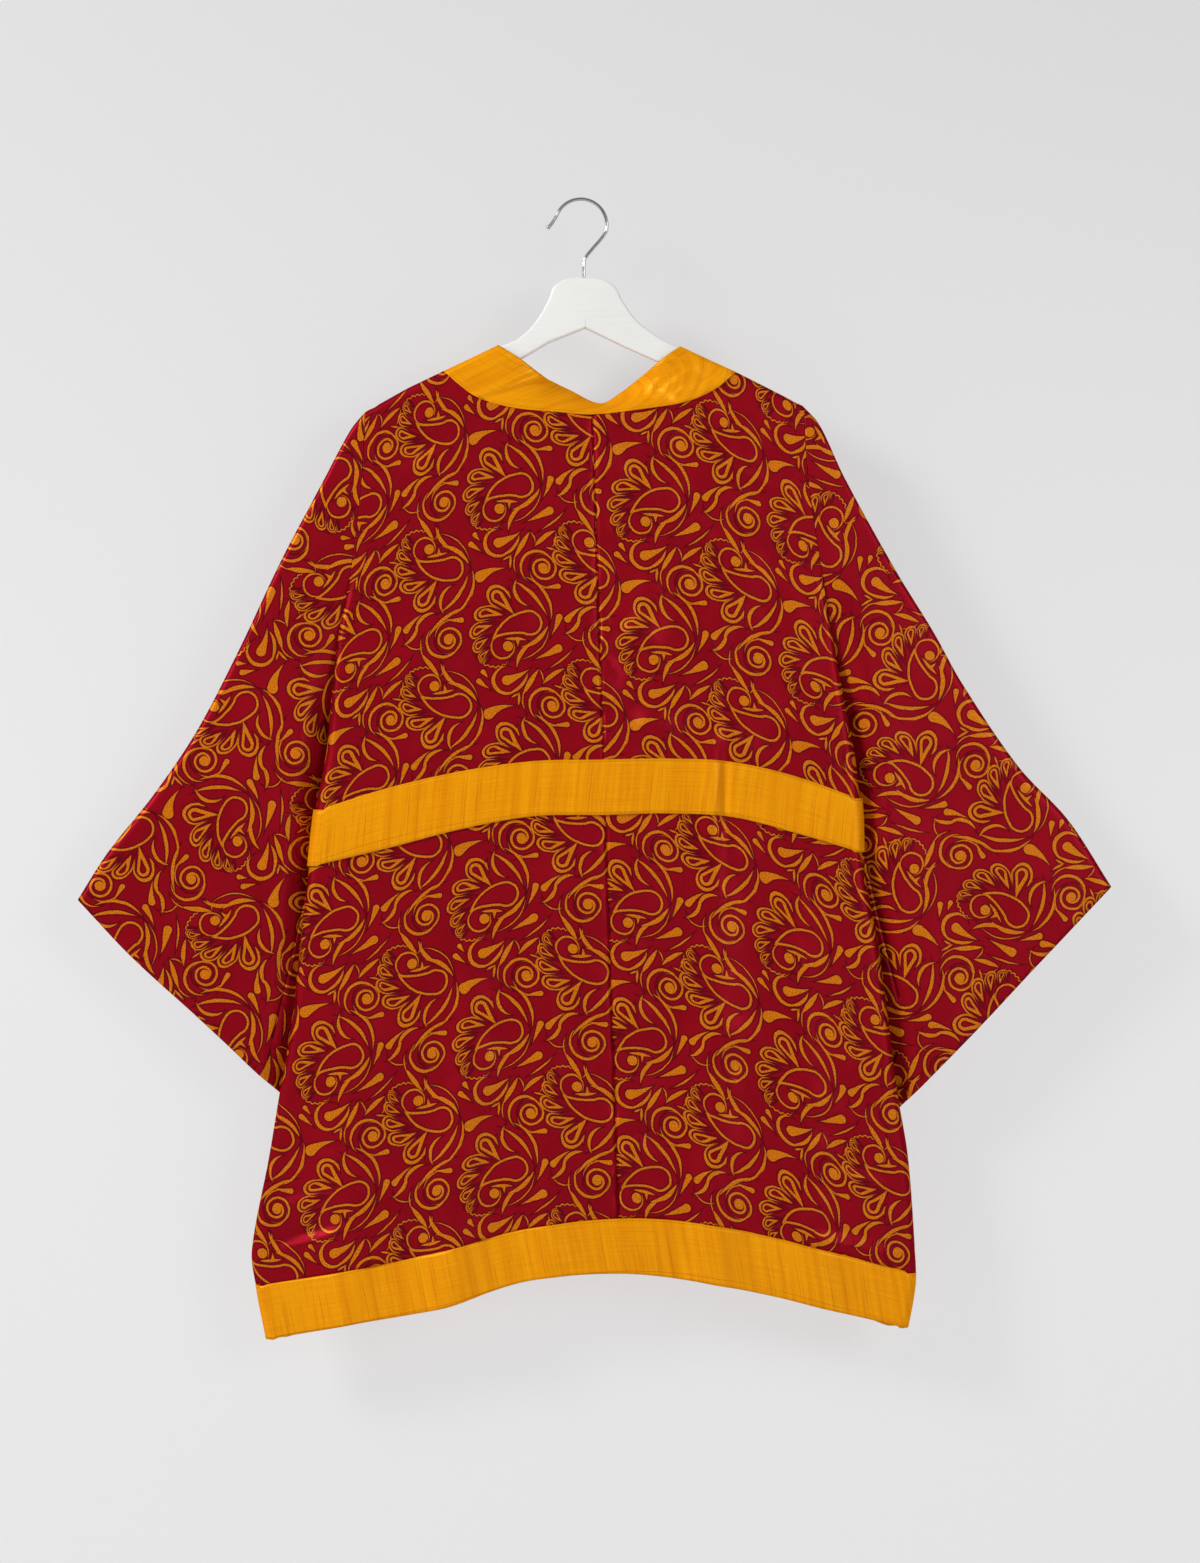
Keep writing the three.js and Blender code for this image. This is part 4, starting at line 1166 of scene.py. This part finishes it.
def make_hanger():
    """The wood: its outline carried round a quarter-round edge to two flat faces."""
    edge = hanger_outline()
    ahead = np.roll(edge, -1, axis=0) - edge
    ahead = ahead / np.linalg.norm(ahead, axis=1, keepdims=True)
    behind = np.roll(ahead, 1, axis=0)
    inward = np.column_stack([ahead[:, 1] + behind[:, 1], -ahead[:, 0] - behind[:, 0]])
    inward = inward / np.maximum(1, np.linalg.norm(inward, axis=1, keepdims=True) ** 2 / 2)
    rings = []
    turns = np.radians([90, 72, 54, 36, 18, 0])
    for face, order in ((-1, turns), (1, turns[::-1])):
        for turn in order:
            y = face * (WOOD / 2 - WOOD_EDGE + WOOD_EDGE * math.sin(turn))
            inset = edge + inward * WOOD_EDGE * (1 - math.cos(turn))
            rings.append(np.column_stack([inset[:, 0], np.full(len(edge), y), inset[:, 1]]))
    count, last = len(edge), len(rings) - 1
    faces = [tuple(range(count)), tuple(range(last * count, (last + 1) * count))[::-1]]
    for k in range(last):
        for i in range(count):
            j = (i + 1) % count
            faces.append((k * count + j, k * count + i, (k + 1) * count + i, (k + 1) * count + j))
    piece = mesh_object("hanger_wood_paint", np.concatenate(rings), faces)
    dress(piece, "hanger_wood", painted_wood())


WIRE_RADIUS = 1.7
HOOK_CENTRE, HOOK_RADIUS = (-0.7, -23.8), 25.5
# The hook's ends beside its round crown: the tip, then the way down into the wood
HOOK_TIP = [(-34.2, -27.2), (-30.6, -24.1)]
HOOK_NECK = [(19.1, -37.3), (9.5, -48.5), (3.4, -56.5), (2.2, -63), (2.2, -69), (2.2, -75.6)]
TIP_BALL, TIP_BALL_HALF_LENGTH = 2.3, 2.1


def make_hook():
    """The wire: a round section carried along the crown, with a small ball on its tip."""
    angles = np.radians(np.arange(158, -15, -9.0))
    crown = [(HOOK_CENTRE[0] + HOOK_RADIUS * math.cos(a),
              HOOK_CENTRE[1] + HOOK_RADIUS * math.sin(a)) for a in angles]
    steps, sides = 260, 24
    x, z = path([*HOOK_TIP, *crown, *HOOK_NECK], np.linspace(0, 1, steps))
    length = np.concatenate([[0], np.cumsum(np.hypot(np.diff(x), np.diff(z)))])
    off = (length - TIP_BALL_HALF_LENGTH) / TIP_BALL_HALF_LENGTH
    tip = np.sqrt(np.clip(1 - off ** 2, 0, 1)) * TIP_BALL
    radius = np.maximum(tip, np.where(length < TIP_BALL_HALF_LENGTH, 0, WIRE_RADIUS))
    radius[0] = 0.05
    along_x, along_z = np.gradient(x), np.gradient(z)
    size = np.hypot(along_x, along_z)
    turn = np.linspace(0, 2 * math.pi, sides, endpoint=False)[:, None]
    grid = np.stack([x + radius * np.cos(turn) * -along_z / size, radius * np.sin(turn),
                     z + radius * np.cos(turn) * along_x / size], axis=-1)
    faces, _ = grid_faces(sides, steps, True)
    start = tuple(k * steps for k in range(sides))
    end = tuple(k * steps + steps - 1 for k in range(sides))
    piece = mesh_object("hanger_hook_wire", grid, [*faces[:, ::-1].tolist(), start[::-1], end])
    dress(piece, "hanger_hook", chromed_wire())


# Stage: the wall's place behind the robe, the floor's height, and how far both reach
WALL, FLOOR = 75.0, -1500.0
STAGE_HALF, STAGE_TOP, STAGE_BEFORE, STAGE_BEHIND = 3000.0, 1600.0, -4200.0, 3000.0


def make_stage():
    """A pale wall close behind the robe, which shows its soft shadow, and a pale floor."""
    sides = [-STAGE_HALF, STAGE_HALF, STAGE_HALF, -STAGE_HALF]
    heights = [FLOOR, FLOOR, STAGE_TOP, STAGE_TOP]
    depths = [STAGE_BEFORE, STAGE_BEFORE, STAGE_BEHIND, STAGE_BEHIND]
    wall = mesh_object("wall", [(x, WALL, z) for x, z in zip(sides, heights)], [(0, 1, 2, 3)])
    wall.data.materials.append(wall_material())
    floor = mesh_object("floor", [(x, y, FLOOR) for x, y in zip(sides, depths)], [(0, 1, 2, 3)])
    floor.data.materials.append(floor_material())


def area_light(name, place, aim, size, power):
    """A square soft light at a place, turned to shine at a point, all in metres."""
    data = bpy.data.lights.new(name, "AREA")
    data.size = size
    data.energy = power
    light = bpy.data.objects.new(name, data)
    toward = np.array(aim) - np.array(place)
    flat = math.hypot(toward[0], toward[1])
    light.location = place
    light.rotation_euler = (math.atan2(flat, -toward[2]), 0, math.atan2(-toward[0], toward[1]))
    bpy.context.scene.collection.objects.link(light)


def make_lights():
    """Plain soft studio light: a large key up left, a fill on the right, a pale surround."""
    middle = (0.02, 0.0, -0.55)
    area_light("key", (-2.4, -1.9, 1.1), middle, 0.9, 80)
    area_light("fill", (1.9, -2.8, 0.2), middle, 1.2, 30)
    world = bpy.data.worlds.new("surround")
    world.use_nodes = True
    tree = world.node_tree
    tree.nodes.clear()
    glow = add(tree, "Background", [hex_colour("#F3F3F4"), 0.3])
    add(tree, "OutputWorld", [glow])
    bpy.context.scene.world = world


def make_camera():
    """Camera on the garment's back, straight on, framing what the photograph's frame shows."""
    data = bpy.data.cameras.new("camera")
    frame_height = PHOTO_HEIGHT * MM_PER_PIXEL
    data.sensor_width = SENSOR
    data.lens = SENSOR * (CAMERA_AWAY - HALF_DEPTH) / frame_height
    camera = bpy.data.objects.new("camera", data)
    camera.location = (CAMERA_CENTRE[0] * MM, -CAMERA_AWAY * MM, CAMERA_CENTRE[1] * MM)
    camera.rotation_euler = (math.pi / 2, 0, 0)
    bpy.context.scene.collection.objects.link(camera)
    bpy.context.scene.camera = camera


make_camera()
make_stage()
make_lights()
make_backs()
make_fronts()
make_sleeves()
make_bands()
make_hanger()
make_hook()
bpy.context.scene.view_settings.view_transform = "Standard"
